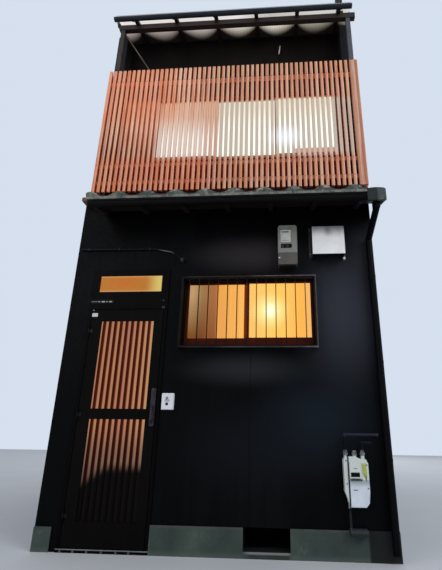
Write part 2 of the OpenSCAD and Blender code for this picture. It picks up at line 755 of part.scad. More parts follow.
module balcony_posts() color("#6e6f6c") on_site()
    for (x = [post_left_x, post_right_x])
        block([x - post_w / 2, post_y, upper_floor_z], [x + post_w / 2, 0, beam_top - beam_h]);

// Upright slats on three rails, closed at the right by a corner board
module lattice_front() color("#c98f76") on_site() {
    slats_w = lattice_right - corner_board_w - lattice_left;
    pitch = slats_w / lattice_slats;
    for (i = [0 : lattice_slats - 1])
        block([lattice_left + i * pitch, lattice_slat_y, lattice_z],
            [lattice_left + i * pitch + lattice_slat_w, lattice_rail_y, lattice_top]);
    block([lattice_right - corner_board_w, lattice_slat_y, lattice_z],
        [lattice_right, lattice_rail_y, lattice_top]);
    for (z = lattice_rail_heights)
        block([lattice_left, lattice_rail_y, z], [lattice_right, post_y, z + lattice_rail_h]);
}

// The lattice's short returns to the side walls: slats outside two rails on either end of the balcony
module lattice_returns() color("#c98f76") on_site()
    for (side = [-1, 1]) {
        slats = 4;
        pitch = (wall_t - post_y - lattice_slat_w) / (slats - 1);
        outer = side < 0 ? lattice_left : half_w;
        inner = outer - side * return_t;
        rail = inner - side * return_rail_t;
        for (i = [0 : slats - 1])
            block([min(outer, inner), post_y + i * pitch, lattice_z],
                [max(outer, inner), post_y + i * pitch + lattice_slat_w, lattice_top]);
        for (z = [lattice_rail_heights[0], lattice_rail_heights[2]])
            block([min(inner, rail), post_y, z], [max(inner, rail), wall_t, z + lattice_rail_h]);
    }

// Beam on the posts, the rafters over it and the stump that stands on the beam's right end
module canopy_frame() color("#3b3630") on_site() {
    block([canopy_left, beam_y, beam_top - beam_h], [half_w + beam_past, beam_y + beam_w, beam_top]);
    for (i = [0 : canopy_rafters_n - 1]) {
        x = first_rafter_x + i * canopy_rafter_pitch;
        across(x, x + rafter_w) polygon([
            [-canopy_out, rafter_under(-canopy_out)], [balcony_d, rafter_under(balcony_d)],
            [balcony_d, rafter_under(balcony_d) + rafter_h], [-canopy_out, rafter_under(-canopy_out) + rafter_h]
        ]);
    }
    block([mast_x, beam_y, beam_top - past], [mast_x + mast_w, beam_y + beam_w, beam_top + mast_h]);
}

// Light sheet over the rafters, notched round the stump
module canopy_sheet() color("#d8d6cc") on_site() difference() {
    y0 = -canopy_out - sheet_past;
    across(canopy_left, canopy_right) polygon([
        [y0, rafter_under(y0) + rafter_h], [balcony_d, rafter_under(balcony_d) + rafter_h],
        [balcony_d, rafter_under(balcony_d) + rafter_h + sheet_t], [y0, rafter_under(y0) + rafter_h + sheet_t]
    ]);
    block([mast_x - mast_gap, beam_y - mast_gap, 0],
        [mast_x + mast_w + mast_gap, beam_y + beam_w + mast_gap, beam_top + mast_h]);
}

// Gutter along the canopy's edge, on straps from the rafters' ends
module upper_gutter() color("#23303a") on_site() {
    y = -canopy_out - gutter_w / 2 - seat;
    z = rafter_under(-canopy_out) - gutter_drop;
    length = canopy_right - canopy_left;
    strap_t = 4;
    strap_h = 20;
    translate([canopy_left, y, z]) difference() {
        rotate([0, 90, 0]) cylinder(h = length, r = gutter_w / 2, $fn = 48);
        translate([gutter_wall, 0, 0]) rotate([0, 90, 0])
            cylinder(h = length - 2 * gutter_wall, r = gutter_w / 2 - gutter_wall, $fn = 48);
        block([-past, -gutter_w, 0], [length + past, gutter_w, gutter_w]);
    }
    for (i = [0 : canopy_rafters_n - 1]) {
        x = first_rafter_x + i * canopy_rafter_pitch;
        block([x, -canopy_out - strap_t, z - strap_h], [x + rafter_w, -canopy_out, z + gutter_drop + strap_h]);
    }
}

module roof_deck() color("#4b4238") on_site()
    across(-half_w, half_w) polygon([
        [roof_front_y, roof_under(roof_front_y)], [ridge_y, roof_under(ridge_y)],
        [roof_back_y, roof_under(roof_back_y)], [roof_back_y, roof_under(roof_back_y) + deck_t],
        [ridge_y, roof_under(ridge_y) + deck_t], [roof_front_y, roof_under(roof_front_y) + deck_t]
    ]);

// One slope of the main roof in pantiles, from its eave up to the side of the ridge
module roof_slope() {
    run = roof_half_run / cos(roof_angle);
    intersection() {
        translate([-half_w, ridge_y, roof_under(ridge_y) + deck_t + seat]) rotate([roof_angle, 0, 0])
            tile_field(house_w, tile_t, run + 60, 0);
        block([-half_w, roof_front_y - tile_past, 0], [half_w, ridge_y - ridge_w / 2 - seat, 3 * storey_h]);
    }
}

module roof_tiles_front() color("#5e6462") on_site() roof_slope();

module roof_tiles_back() color("#5e6462") on_site()
    translate([0, 2 * ridge_y, 0]) mirror([0, 1, 0]) roof_slope();

// Ridge bedded on the boarding: a core between the slopes, thin courses that step in, and a round cap
module roof_ridge() color("#4f5553") on_site() across(-half_w, half_w) {
    courses = 3;
    course_t = 22;
    course_step = 14;
    bedding = 30;
    cap_r = ridge_w / 2 - 34;
    side_y = ridge_y - ridge_w / 2;
    bed_z = roof_under(side_y) + deck_t + seat;
    top_z = bed_z + tile_t + tile_wave + bedding;
    polygon([
        [side_y, bed_z], [ridge_y, roof_under(ridge_y) + deck_t + seat], [side_y + ridge_w, bed_z],
        [side_y + ridge_w, top_z], [side_y, top_z]
    ]);
    for (i = [1 : courses])
        translate([side_y + i * course_step, top_z]) square([ridge_w - 2 * i * course_step, i * course_t]);
    translate([ridge_y, top_z + courses * course_t]) intersection() {
        circle(r = cap_r, $fn = 48);
        translate([-ridge_w / 2, 0]) square([ridge_w, ridge_w / 2]);
    }
}

// Moulded box with round corners, a sunk window over a sunk band, and a groove where its cover ends
module electric_meter_box() color("#9a9b95") on_site() translate([meter_x, 0, meter_z]) difference() {
    union() {
        facing(-meter_d + 20, 0) rounded(meter_w, meter_h, 24);
        facing(-meter_d, -meter_d + 20) translate([5, 5]) rounded(meter_w - 10, meter_h - 10, 20);
    }
    facing(-meter_d - past, -meter_d + 14) translate([0.12 * meter_w, 0.56 * meter_h])
        rounded(0.58 * meter_w, 0.34 * meter_h, 14);
    facing(-meter_d - past, -meter_d + 8) translate([0.14 * meter_w, 0.41 * meter_h])
        rounded(0.58 * meter_w, 0.11 * meter_h, 10);
    block([-past, -meter_d - past, 0.29 * meter_h], [meter_w + past, -meter_d + 3, 0.3 * meter_h]);
}

// Sheet-metal hood, open below, on a wall plate with the duct's collar
module vent_hood() color("#c9c9c4") on_site() translate([hood_x, 0, hood_z]) {
    sheet = 3;
    plate_out = 24;
    duct_r = 75;
    difference() {
        across(0, hood_w) polygon([[0, 0], [-hood_d, 0], [-hood_d, hood_h], [0, hood_h + 34]]);
        across(sheet, hood_w - sheet) polygon([
            [past, -past], [-hood_d + sheet, -past],
            [-hood_d + sheet, hood_h - sheet], [past, hood_h + 34 - sheet]
        ]);
    }
    facing(-4, 0) difference() {
        translate([-plate_out, 22]) square([hood_w + 2 * plate_out, hood_h + 42]);
        translate([hood_w / 2, hood_h / 2]) circle(r = duct_r, $fn = 40);
    }
    facing(-40, 0) translate([hood_w / 2, hood_h / 2]) difference() {
        circle(r = duct_r + sheet, $fn = 40);
        circle(r = duct_r, $fn = 40);
    }
    translate([hood_w - 8, -0.7 * hood_d, -22]) cylinder(h = 30, r = 9, $fn = 32);
}

// Gas meter in two pressed halves with a seam between them, its unions and pipes, and its wall bracket
module gas_meter() color("#d5d4cb") on_site() translate([gas_x, 0, gas_z]) {
    back = 30;
    seam_x = 0.18 * gas_w;
    seam_w = 6;
    corner_z = 0.3 * gas_h;
    front = -back - gas_d;
    cover_t = 12;
    pipe_y = -back - gas_d / 2;
    left_union = 0.12 * gas_w;
    right_union = 0.83 * gas_w;
    union_r = 15;
    nut_r = 20;
    feed_r = 12;
    feed_z = gas_h + 165;
    feed_end = 1.51 * gas_w;
    stub_z = gas_h + 88;
    drop_r = 9;
    bracket_z = base_h - gas_z;
    facing(front + cover_t, -back) polygon([
        [0, corner_z], [seam_x, 12], [seam_x, gas_h - 8], [14, gas_h - 8], [0, gas_h - 26]
    ]);
    facing(front, -back) polygon([
        [seam_x + seam_w, 0], [0.82 * gas_w, 0], [0.95 * gas_w, 30], [gas_w, corner_z],
        [gas_w, 0.86 * gas_h],
        [0.92 * gas_w, 0.94 * gas_h], [0.7 * gas_w, 0.95 * gas_h], [0.45 * gas_w, gas_h],
        [seam_x + seam_w, gas_h - 4]
    ]);
    facing(front + 30, -back) translate([seam_x - past, 30]) square([seam_w + 2 * past, gas_h - 60]);
    difference() {
        facing(front - cover_t, front) translate([0.23 * gas_w, 0.57 * gas_h])
            rounded(0.44 * gas_w, 0.33 * gas_h, 12);
        facing(front - cover_t - past, front - 5) translate([0.28 * gas_w, 0.62 * gas_h])
            square([0.34 * gas_w, 0.065 * gas_h]);
    }
    for (x = [left_union, 0.49 * gas_w, right_union]) {
        rod([x, pipe_y, gas_h - 40], [x, pipe_y, gas_h + 44], union_r);
        rod([x, pipe_y, gas_h + 10], [x, pipe_y, gas_h + 28], nut_r);
    }
    rod([left_union, pipe_y, gas_h], [left_union, pipe_y, feed_z], feed_r);
    rod([left_union, pipe_y, feed_z], [feed_end, pipe_y, feed_z], feed_r);
    rod([feed_end, 0, feed_z], [feed_end, pipe_y, feed_z], feed_r);
    for (x = [left_union, feed_end]) translate([x, pipe_y, feed_z]) sphere(r = feed_r + 2, $fn = 32);
    rod([right_union, pipe_y, gas_h], [right_union, pipe_y, stub_z + 6], feed_r);
    block([right_union - feed_r - 2, pipe_y - 10, stub_z], [1.24 * gas_w, pipe_y + 10, stub_z + 22]);
    rod([seam_x, pipe_y, bracket_z + 10], [seam_x, pipe_y, corner_z], drop_r);
    block([0.15 * gas_w, pipe_y - 14, bracket_z - 30], [0.86 * gas_w, -base_out - seat, bracket_z + 16]);
    block([0.4 * gas_w, -back - past, 0.8 * gas_h], [0.65 * gas_w, 0, 0.86 * gas_h]);
}

// Door station with a round lens over a round call button
module intercom() color("#e8e8e4") on_site() translate([intercom_x, 0, intercom_z]) difference() {
    union() {
        facing(-22, 0) rounded(intercom_w, intercom_h, 8);
        facing(-32, -22) translate([4, 4]) rounded(intercom_w - 8, intercom_h - 8, 7);
    }
    facing(-32 - past, -28) translate([0.45 * intercom_w, 0.7 * intercom_h]) circle(r = 13, $fn = 32);
    facing(-32 - past, -29) translate([0.45 * intercom_w, 0.35 * intercom_h]) circle(r = 15, $fn = 32);
}

// Conduit over the door on saddle clips, the cable from its end to a small lamp, and the balcony's lamp
module conduit_and_lamp() color("#3a3b3d") on_site() {
    r = 11;
    cable_r = 7;
    slope = 8;
    y = -r - seat;
    cable_y = -12;
    lamp_r = 24;
    lamp_h = 30;
    lamp_x = doorway_right + 117;
    lamp_z = conduit_z - 124;
    balcony_lamp_x = 0.205 * house_w;
    balcony_lamp_h = 45;
    left = -half_w + 40;
    right = doorway_right - 148;
    bend = [doorway_right, cable_y, conduit_z - 36];
    rod([left, y, conduit_z + slope], [right, y, conduit_z], r);
    for (share = [0.1, 0.5, 0.9])
        translate([left + share * (right - left), 0, conduit_z + (1 - share) * slope])
            block([-10, y - r - 2, -r - 3], [10, 0, r + 3]);
    rod([right - 10, y, conduit_z], bend, cable_r);
    translate(bend) sphere(r = cable_r + 2, $fn = 32);
    rod(bend, [lamp_x, cable_y, lamp_z], cable_r);
    translate([lamp_x, 0, lamp_z]) rotate([90, 0, 0]) cylinder(h = lamp_h, r = lamp_r, $fn = 32);
    translate([lamp_x, -lamp_h, lamp_z]) sphere(r = lamp_r - 4, $fn = 32);
    translate([balcony_lamp_x, balcony_d, beam_top - beam_h]) rotate([90, 0, 0])
        cylinder(h = balcony_lamp_h, r = lamp_r + 2, $fn = 32);
}

foundation();
ground_floor();
front_wall_left();
front_wall_over_door();
front_wall_right();
left_party_wall();
right_side_wall();
back_wall();
upper_floor();
upper_front_wall();
door_frame();
transom_light();
door_leaf();
door_lattice();
door_glass();
door_fittings();
window_frame();
window_sashes();
window_glass();
window_grille();
upper_window_frame();
upper_window_sashes();
upper_window_glass();
back_window_frames();
back_window_glass();
hisashi_frame();
hisashi_tiles();
hisashi_gutter();
downpipe();
balcony_deck();
balcony_posts();
lattice_front();
lattice_returns();
canopy_frame();
canopy_sheet();
upper_gutter();
roof_deck();
roof_tiles_front();
roof_tiles_back();
roof_ridge();
electric_meter_box();
vent_hood();
gas_meter();
intercom();
conduit_and_lamp();
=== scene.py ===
"""Looks of the townhouse: materials for the CAD nodes, loose tiles, fixtures' faces, light and camera."""
import math
import random
import bpy
from mathutils import Matrix, Vector


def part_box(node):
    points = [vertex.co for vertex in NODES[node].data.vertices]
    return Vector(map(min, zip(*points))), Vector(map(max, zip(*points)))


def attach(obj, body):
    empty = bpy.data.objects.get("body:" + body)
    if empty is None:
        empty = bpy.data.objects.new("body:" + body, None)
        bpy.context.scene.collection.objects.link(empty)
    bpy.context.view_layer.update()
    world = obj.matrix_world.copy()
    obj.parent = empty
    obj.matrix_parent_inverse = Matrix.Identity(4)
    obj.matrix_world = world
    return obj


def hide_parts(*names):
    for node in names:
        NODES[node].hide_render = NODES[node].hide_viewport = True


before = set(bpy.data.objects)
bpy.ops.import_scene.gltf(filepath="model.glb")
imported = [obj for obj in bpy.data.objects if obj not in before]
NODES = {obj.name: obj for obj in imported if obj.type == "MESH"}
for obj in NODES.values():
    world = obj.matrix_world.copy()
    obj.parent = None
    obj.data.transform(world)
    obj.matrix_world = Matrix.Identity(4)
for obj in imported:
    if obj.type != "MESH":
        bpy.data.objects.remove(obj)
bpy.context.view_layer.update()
rng = random.Random(7)
# where the middle of the wall face's foot lies in the shared frame, in metres
SHIFT = (-0.026, -2.94)
# the lattice's front: slats, width of the board at its right end, half a slat
SLATS, CORNER_BOARD, SLAT_HALF = 50, 0.088, 0.016
# spacing of the door's slats, width of a cladding sheet, spacing of the canopy's rafters
DOOR_PITCH, CLADDING_W, RAFTER_PITCH = 0.0547, 0.91, 0.495
# corrugation of the canopy's sheet: width and half height of a wave
SHEET_WAVE, SHEET_RISE = 0.032, 0.0042
# rise for each metre in: hisashi and canopy, main roof
EAVE_FALL, ROOF_FALL = 0.3, 0.4
# pantiles: width, height of the roll, thickness of the bed, exposed length, lap, points across
TILE_W, ROLL, BED, COURSE, LAP, TILE_STEPS = 0.274, 0.042, 0.021, 0.236, 0.04, 12
# hisashi's right end: width of the verge tile, depth of its aprons
VERGE_W, APRON = 0.165, 0.09
AHEAD = Vector((0, -1, 0))


def wx(x):
    """X in the shared frame of a place given in millimetres right of the front's middle."""
    return x / 1000 + SHIFT[0]


def wy(y):
    """Y in the shared frame of a place given in millimetres behind the wall face."""
    return y / 1000 + SHIFT[1]


def at(x, y, z):
    """A point given in millimetres from the middle of the wall face at ground level."""
    return Vector((wx(x), wy(y), z / 1000))


# Materials
def linear(colour):
    """A colour's linear numbers, from sRGB in 0 to 255; one with no number above 1 is linear already."""
    if max(colour) <= 1:
        return colour
    return tuple(((c / 255 + 0.055) / 1.055) ** 2.4 if c > 10 else c / 255 / 12.92 for c in colour)


class Shader:
    """A material's node tree with short calls for the nodes that this scene needs."""

    def __init__(self, name):
        self.m = bpy.data.materials.new(name)
        self.m.use_nodes = True
        self.t = self.m.node_tree
        self.t.nodes.clear()
        self.bsdf = self.add("ShaderNodeBsdfPrincipled")
        self.link(self.bsdf.outputs[0], self.add("ShaderNodeOutputMaterial").inputs[0])
        self.coord = self.add("ShaderNodeTexCoord").outputs["Object"]
        self.x, self.y, self.z = self.parts(self.coord)
        self.col = None

    def add(self, kind, **props):
        """A new node with its properties set."""
        n = self.t.nodes.new(kind)
        for k, v in props.items():
            setattr(n, k, v)
        return n

    def link(self, a, b):
        self.t.links.new(a, b)

    def put(self, socket, value):
        """Gives a socket another socket's output or a plain value."""
        if isinstance(value, bpy.types.NodeSocket):
            self.link(value, socket)
        else:
            socket.default_value = (*linear(value), 1.0) if socket.type == "RGBA" else value

    def parts(self, vector):
        """The three numbers of a vector."""
        n = self.add("ShaderNodeSeparateXYZ")
        self.link(vector, n.inputs[0])
        return n.outputs

    def facing(self):
        """X, Y and Z of the way that the surface faces."""
        return self.parts(self.add("ShaderNodeNewGeometry").outputs["Normal"])

    def noise(self, scale, detail=4.0, rough=0.55, stretch=(1, 1, 1), distort=0.0):
        place = self.add("ShaderNodeMapping")
        self.link(self.coord, place.inputs["Vector"])
        place.inputs["Scale"].default_value = stretch
        n = self.add("ShaderNodeTexNoise")
        self.link(place.outputs[0], n.inputs["Vector"])
        for key, value in (("Scale", scale), ("Detail", detail), ("Roughness", rough), ("Distortion", distort)):
            n.inputs[key].default_value = value
        return n.outputs["Fac"]

    def grain(self, stretch=(1, 1, 0.05)):
        """Grain of wood, upright unless told."""
        return self.noise(55, 5, 0.65, stretch, 0.6)

    def wood(self, grain, dark, light, pale):
        """Three tones of wood along the grain, with soft clouds."""
        tone = self.madd(grain, 0.55, self.mul(self.noise(3.0, 3, 0.5), 0.45))
        return self.ramp(tone, [(0.28, dark), (0.5, light), (0.78, pale)])

    def chance(self, value):
        """A random number for each whole value."""
        n = self.add("ShaderNodeTexWhiteNoise", noise_dimensions="1D")
        self.link(self.math("FLOOR", value), n.inputs["W"])
        return n.outputs["Value"]

    def math(self, op, *values):
        """The result of one math node."""
        n = self.add("ShaderNodeMath", operation=op)
        for socket, value in zip(n.inputs, values):
            self.put(socket, value)
        return n.outputs[0]

    def mul(self, value, *others):
        for other in others:
            value = self.math("MULTIPLY", value, other)
        return value

    def madd(self, value, share, rest):
        """value times share plus rest."""
        return self.math("MULTIPLY_ADD", value, share, rest)

    def sub(self, a, b):
        return self.math("SUBTRACT", a, b)

    def less(self, value):
        """What is left of 1."""
        return self.sub(1.0, value)

    def most(self, a, b):
        return self.math("MAXIMUM", a, b)

    def span(self, value, a, b, low=0.0, high=1.0, smooth=True):
        """low where the value is at a or before it, high from b on; a may be the greater one."""
        n = self.add("ShaderNodeMapRange", interpolation_type="SMOOTHSTEP" if smooth else "LINEAR")
        for socket, number in zip(n.inputs, (value, a, b, low, high)):
            self.put(socket, number)
        return n.outputs[0]

    def on_x(self, a, b, low=0.0, high=1.0, smooth=True):
        """span across the front, in wall millimetres."""
        return self.span(self.x, wx(a), wx(b), low, high, smooth)

    def on_y(self, a, b, low=0.0, high=1.0, smooth=True):
        """span from the street in, in wall millimetres."""
        return self.span(self.y, wy(a), wy(b), low, high, smooth)

    def on_z(self, a, b, low=0.0, high=1.0, smooth=True):
        """span from the ground up, in metres."""
        return self.span(self.z, a, b, low, high, smooth)

    def band_x(self, a, b, c, d):
        """1 from b to c across the front, 0 outside a and d."""
        return self.mul(self.on_x(a, b), self.on_x(d, c))

    def band_z(self, a, b, c, d, smooth=True):
        """1 from b to c in height, 0 outside a and d."""
        return self.mul(self.on_z(a, b, smooth=smooth), self.on_z(d, c, smooth=smooth))

    def patchy(self, low, high):
        """A value that wanders between two others."""
        return self.span(self.noise(90, 4), 0.3, 0.7, low, high)

    def ramp(self, value, stops):
        n = self.add("ShaderNodeValToRGB")
        self.put(n.inputs[0], value)
        e = n.color_ramp.elements
        while len(e) < len(stops):
            e.new(0.5)
        for k, (p, c) in enumerate(stops):
            e[k].position = p
            e[k].color = (*linear(c), 1.0)
        return n.outputs[0]

    def clouds(self, value, a, b):
        """Two colours that pass into each other along with a noise."""
        return self.ramp(value, [(0.3, a), (0.7, b)])

    def mix(self, fac, a, b):
        n = self.add("ShaderNodeMix", data_type="RGBA")
        self.put(n.inputs["Factor"], fac)
        for key, colour in (("A", a), ("B", b)):
            self.put([i for i in n.inputs if i.name == key and i.type == "RGBA"][0], colour)
        return [o for o in n.outputs if o.type == "RGBA"][0]

    def over(self, under, tint, *shares):
        """A colour with a tint over it, as much as the product of the shares."""
        return self.mix(self.mul(*shares), under, tint)

    def lay(self, tint, *shares):
        """Lays a tint over the colour that the shader has so far."""
        self.col = self.over(self.col, tint, *shares)

    def set(self, **values):
        names = {"color": "Base Color", "rough": "Roughness", "metal": "Metallic", "spec": "Specular IOR Level",
                 "glow": "Emission Color", "power": "Emission Strength"}
        for k, v in values.items():
            self.put(self.bsdf.inputs[names[k]], v)

    def finish(self, bump=None, **values):
        """Sets the surface's values and its bumps, a fine even grain unless told, and gives the material."""
        self.set(**{"color": self.col, **values})
        height, strength, distance = bump or (self.noise(140, 4), 0.1, 0.001)
        n = self.add("ShaderNodeBump")
        self.link(height, n.inputs["Height"])
        n.inputs["Strength"].default_value = strength
        n.inputs["Distance"].default_value = distance
        self.link(n.outputs[0], self.bsdf.inputs["Normal"])
        return self.m


def coated_wall():
    """Black coating: matt and streaked, with soft grey-blue patches of painted sheen and painted light on the front.
    """
    s = Shader("charcoal_coating")
    fine = s.noise(60, 6, 0.7)
    mixed = s.madd(s.noise(9, 4, 0.6, (1, 1, 0.06)), 0.45, s.mul(s.noise(1.3, 3), 0.6))
    s.col = s.ramp(mixed, [(0.3, (0.0014, 0.0014, 0.0014)), (0.55, (0.0024, 0.0024, 0.0027)),
                           (0.78, (0.0050, 0.0052, 0.0058))])
    # painted sheen and painted light: soft grey and grey-blue patches on the front
    for x, z, rx, rz, share, painted_sheen in (
            (1150, 2020, 560, 980, 0.85, (0.040, 0.042, 0.054)), (300, 2600, 800, 270, 0.8, (0.034, 0.029, 0.030)),
            (1356, 2640, 300, 400, 0.6, (0.030, 0.030, 0.035)), (882, 1042, 720, 580, 0.8, (0.011, 0.016, 0.023)),
            (248, 1470, 760, 190, 0.8, (0.024, 0.026, 0.028)), (300, 794, 900, 500, 0.5, (0.008, 0.010, 0.0135))):
        s.lay(painted_sheen, spot(s, x, z, rx, rz), share)
    front = s.col
    s.col = s.ramp(mixed, [(0.3, (0.008, 0.008, 0.009)), (0.55, (0.014, 0.014, 0.015)), (0.78, (0.026, 0.027, 0.029))])
    s.lay((0.034, 0.035, 0.036), s.span(s.noise(3.2, 5, 0.7, (1, 1, 0.12)), 0.5, 0.72, 0, 0.7))
    for place in (s.x, s.y):
        sheet = s.math("FRACT", s.math("DIVIDE", s.math("ADD", place, 20.0), CLADDING_W))
        s.lay((0.002, 0.002, 0.002), s.span(s.math("ABSOLUTE", s.sub(sheet, 0.5)), 0.4955, 0.498, smooth=False), 0.8)
    s.col = s.mix(s.on_y(4, 8, smooth=False), front, s.col)
    # a vertical joint between two cladding sheets under the window
    joint = s.math("ABSOLUTE", s.sub(s.x, wx(296)))
    s.lay((0.0008, 0.0008, 0.001), s.span(joint, 0.0035, 0.0015, smooth=False), s.on_z(1.62, 1.6), 0.85)
    return s.finish((s.madd(fine, 0.6, s.noise(11, 3)), 0.35, 0.004), spec=0.04,
                    rough=s.span(fine, 0.3, 0.7, 0.36, 0.58))


def timber(name, dark, light, pale, along_x=False, spec=0.35):
    """Wood with worn pale patches, its grain upright or across the front."""
    s = Shader(name)
    stretch = (0.05, 1, 1) if along_x else (1, 1, 0.05)
    grain = s.grain(stretch)
    s.col = s.wood(grain, dark, light, pale)
    s.lay(pale, s.span(s.noise(7, 5, 0.7, stretch), 0.6, 0.78, 0, 0.5))
    return s.finish((grain, 0.4, 0.003), rough=0.6, spec=spec)


def upper_boards():
    """Near-black boards; behind the lattice they are bare red-brown wood, with painted light that makes it palest at
    the upper left end and painted shade that darkens it low down.
    """
    s = Shader("upper_wall_boards")
    grain = s.grain()
    s.col = s.wood(grain, (9, 7, 6), (16, 12, 11), (28, 22, 19))
    # painted light makes the bare wood palest at the upper left; painted shade darkens it low down
    left = s.mul(s.on_x(300, -850), s.on_z(3.9, 4.5))
    bare = s.mix(left, (140, 40, 14), (248, 140, 92))
    bare = s.mix(s.on_z(3.95, 3.6), bare, (58, 14, 5))
    bare = s.mix(s.span(grain, 0.35, 0.65, 0, 0.25), bare, (120, 40, 20))
    # a dark brown band, with a lighter patch of painted light over the left sash
    lintel_and_light = s.mix(s.band_x(-960, -900, -330, -290), (74, 26, 12), (138, 80, 52))
    s.lay(lintel_and_light, s.on_z(5.24, 5.1, 0, 0.7))
    s.lay(bare, s.on_z(4.97, 4.86, 0, 0.95))
    return s.finish((grain, 0.4, 0.003), rough=0.6, spec=0.1)


def lattice_wood():
    """Salmon-stained slats: each its own tint, pale along the edges from wear and painted highlight, and washed pale
    round the lit window by its painted glare.
    """
    s = Shader("lattice_timber")
    (x0, _, _), (x1, _, _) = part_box("lattice_front")
    pitch = (x1 - x0 - CORNER_BOARD) / SLATS
    u = s.math("DIVIDE", s.sub(s.x, x0), pitch)
    grain = s.grain()
    tone = s.madd(grain, 0.5, s.mul(s.noise(3.0, 3, 0.5), 0.4))
    tone = s.madd(s.sub(s.chance(u), 0.5), 0.22, tone)
    s.col = s.ramp(tone, [(0.26, (212, 122, 84)), (0.48, (246, 170, 130)), (0.7, (255, 208, 172))])
    # darker towards the right and the foot
    left_and_high = s.mul(s.on_x(200, -700), s.on_z(3.7, 4.3))
    s.lay((170, 88, 60), s.less(left_and_high), 0.3)
    # pale edges in runs of different length on every slat, partly worn bare wood and partly painted highlight
    centre = s.sub(s.math("FRACT", u), SLAT_HALF / pitch)
    rim = s.span(s.math("ABSOLUTE", centre), 0.5 * SLAT_HALF / pitch, 0.9 * SLAT_HALF / pitch)
    run = s.span(s.noise(5, 3, 0.6, (6, 1, 0.4)), 0.36, 0.54)
    s.lay((255, 226, 198), rim, run, s.span(left_and_high, 0, 1, 0.8, 1.0))
    # the left edge of each slat is darker
    left_edge_dark = s.span(centre, -0.3 * SLAT_HALF / pitch, -0.85 * SLAT_HALF / pitch, 0, 0.75)
    s.lay((128, 56, 34), left_edge_dark, s.less(s.mul(left_and_high, 0.7)))
    s.lay((232, 184, 118), s.span(s.noise(6, 3, 0.6, (3, 1, 0.15)), 0.56, 0.68), 0.5)
    # painted light: the lit window's glare washes the slats in front of it pale, most at the foot of its left sash
    wide = s.madd(s.band_x(1190, 1220, 1380, 1400), 0.55, s.band_x(-800, -710, 1200, 1250))
    tall = s.band_z(3.66, 3.73, 4.395, 4.455)
    left = s.on_x(-60, -160)
    fall = s.less(s.mul(left, s.on_z(3.9, 4.5, 0, 0.85)))
    window_glare = s.mul(wide, tall, fall, s.less(s.mul(s.band_x(-250, -200, -90, -50), 0.5)), 0.85)
    s.lay(s.mix(left, (208, 196, 178), (240, 216, 198)), window_glare)
    # a painted white glare spot by the lamp at the right
    s.lay((255, 255, 250), spot(s, 650, 3925, 240, 190), 0.85)
    s.lay((232, 190, 170), s.band_x(740, 800, 1200, 1250), s.band_z(3.66, 3.69, 3.755, 3.775), 0.8)
    # painted light and shade on the slats' sides: pale orange at the upper left, dark red-brown towards the right and
    # the foot
    side = s.span(s.math("ABSOLUTE", s.facing()[0]), 0.6, 0.9)
    s.lay(s.mix(left_and_high, (112, 34, 12), (214, 118, 78)), side, s.sub(0.9, window_glare))
    # rails behind the slats are the same wood in the slats' shadow
    behind = s.on_y(-79, -76, 0, 0.85, smooth=False)
    board = s.span(s.x, x1 - CORNER_BOARD - 0.004, x1 - CORNER_BOARD)
    s.lay((226, 128, 88), behind, s.less(s.most(board, window_glare)))
    s.lay((150, 90, 66), board, 0.5)
    # more orange at the left, above and below the sash
    high = s.mul(s.on_x(-500, -620), s.on_z(4.1, 4.3))
    s.lay((230, 110, 58), s.most(high, s.mul(s.on_x(-100, -300), s.on_z(3.77, 3.68))), 0.34)
    return s.finish((grain, 0.4, 0.003), rough=0.62, spec=0.25)


def painted(name, color, vary, rough=0.45, metal=0.0, dirt=0.25, spec=0.5):
    """Paint or moulding with slight clouding, fine roughness and grime in upright streaks."""
    s = Shader(name)
    color = linear(color)
    low = tuple(c * (1 - vary * 2) for c in color)
    high = tuple(min(1.0, c * (1 + vary)) for c in color)
    s.col = s.clouds(s.noise(5, 4, 0.6), low, high)
    s.lay(tuple(c * 0.35 for c in color), s.span(s.noise(24, 6, 0.7, (1, 1, 0.25)), 0.5, 0.8), dirt)
    return s.finish(metal=metal, spec=spec, rough=s.patchy(rough - 0.08, rough + 0.1))


def hood_paint():
    """Pale front sheet with painted shade over its top and a painted V-shaped shadow; wall plate, side flanges and
    open underside painted near-black as shade.
    """
    s = Shader("hood_paint")
    s.col = s.clouds(s.noise(6, 4), (228, 224, 218), (244, 241, 236))
    # painted shade over the top of the front, under the hisashi
    shade = s.span(s.math("ADD", s.z, s.mul(s.noise(7, 4, 0.6, (1, 1, 0.4)), 0.12)), 2.745, 2.865)
    s.lay((104, 103, 101), shade, 0.92)
    # painted V-shaped shadow on the front
    s.lay((92, 94, 96), spot(s, 1031, 2800, 46, 110), 0.7)
    # painted shade: all but the front sheet nearly black
    s.lay((0.012, 0.012, 0.013), s.on_y(-146, -138))
    return s.finish(rough=s.patchy(0.3, 0.45), spec=0.4)


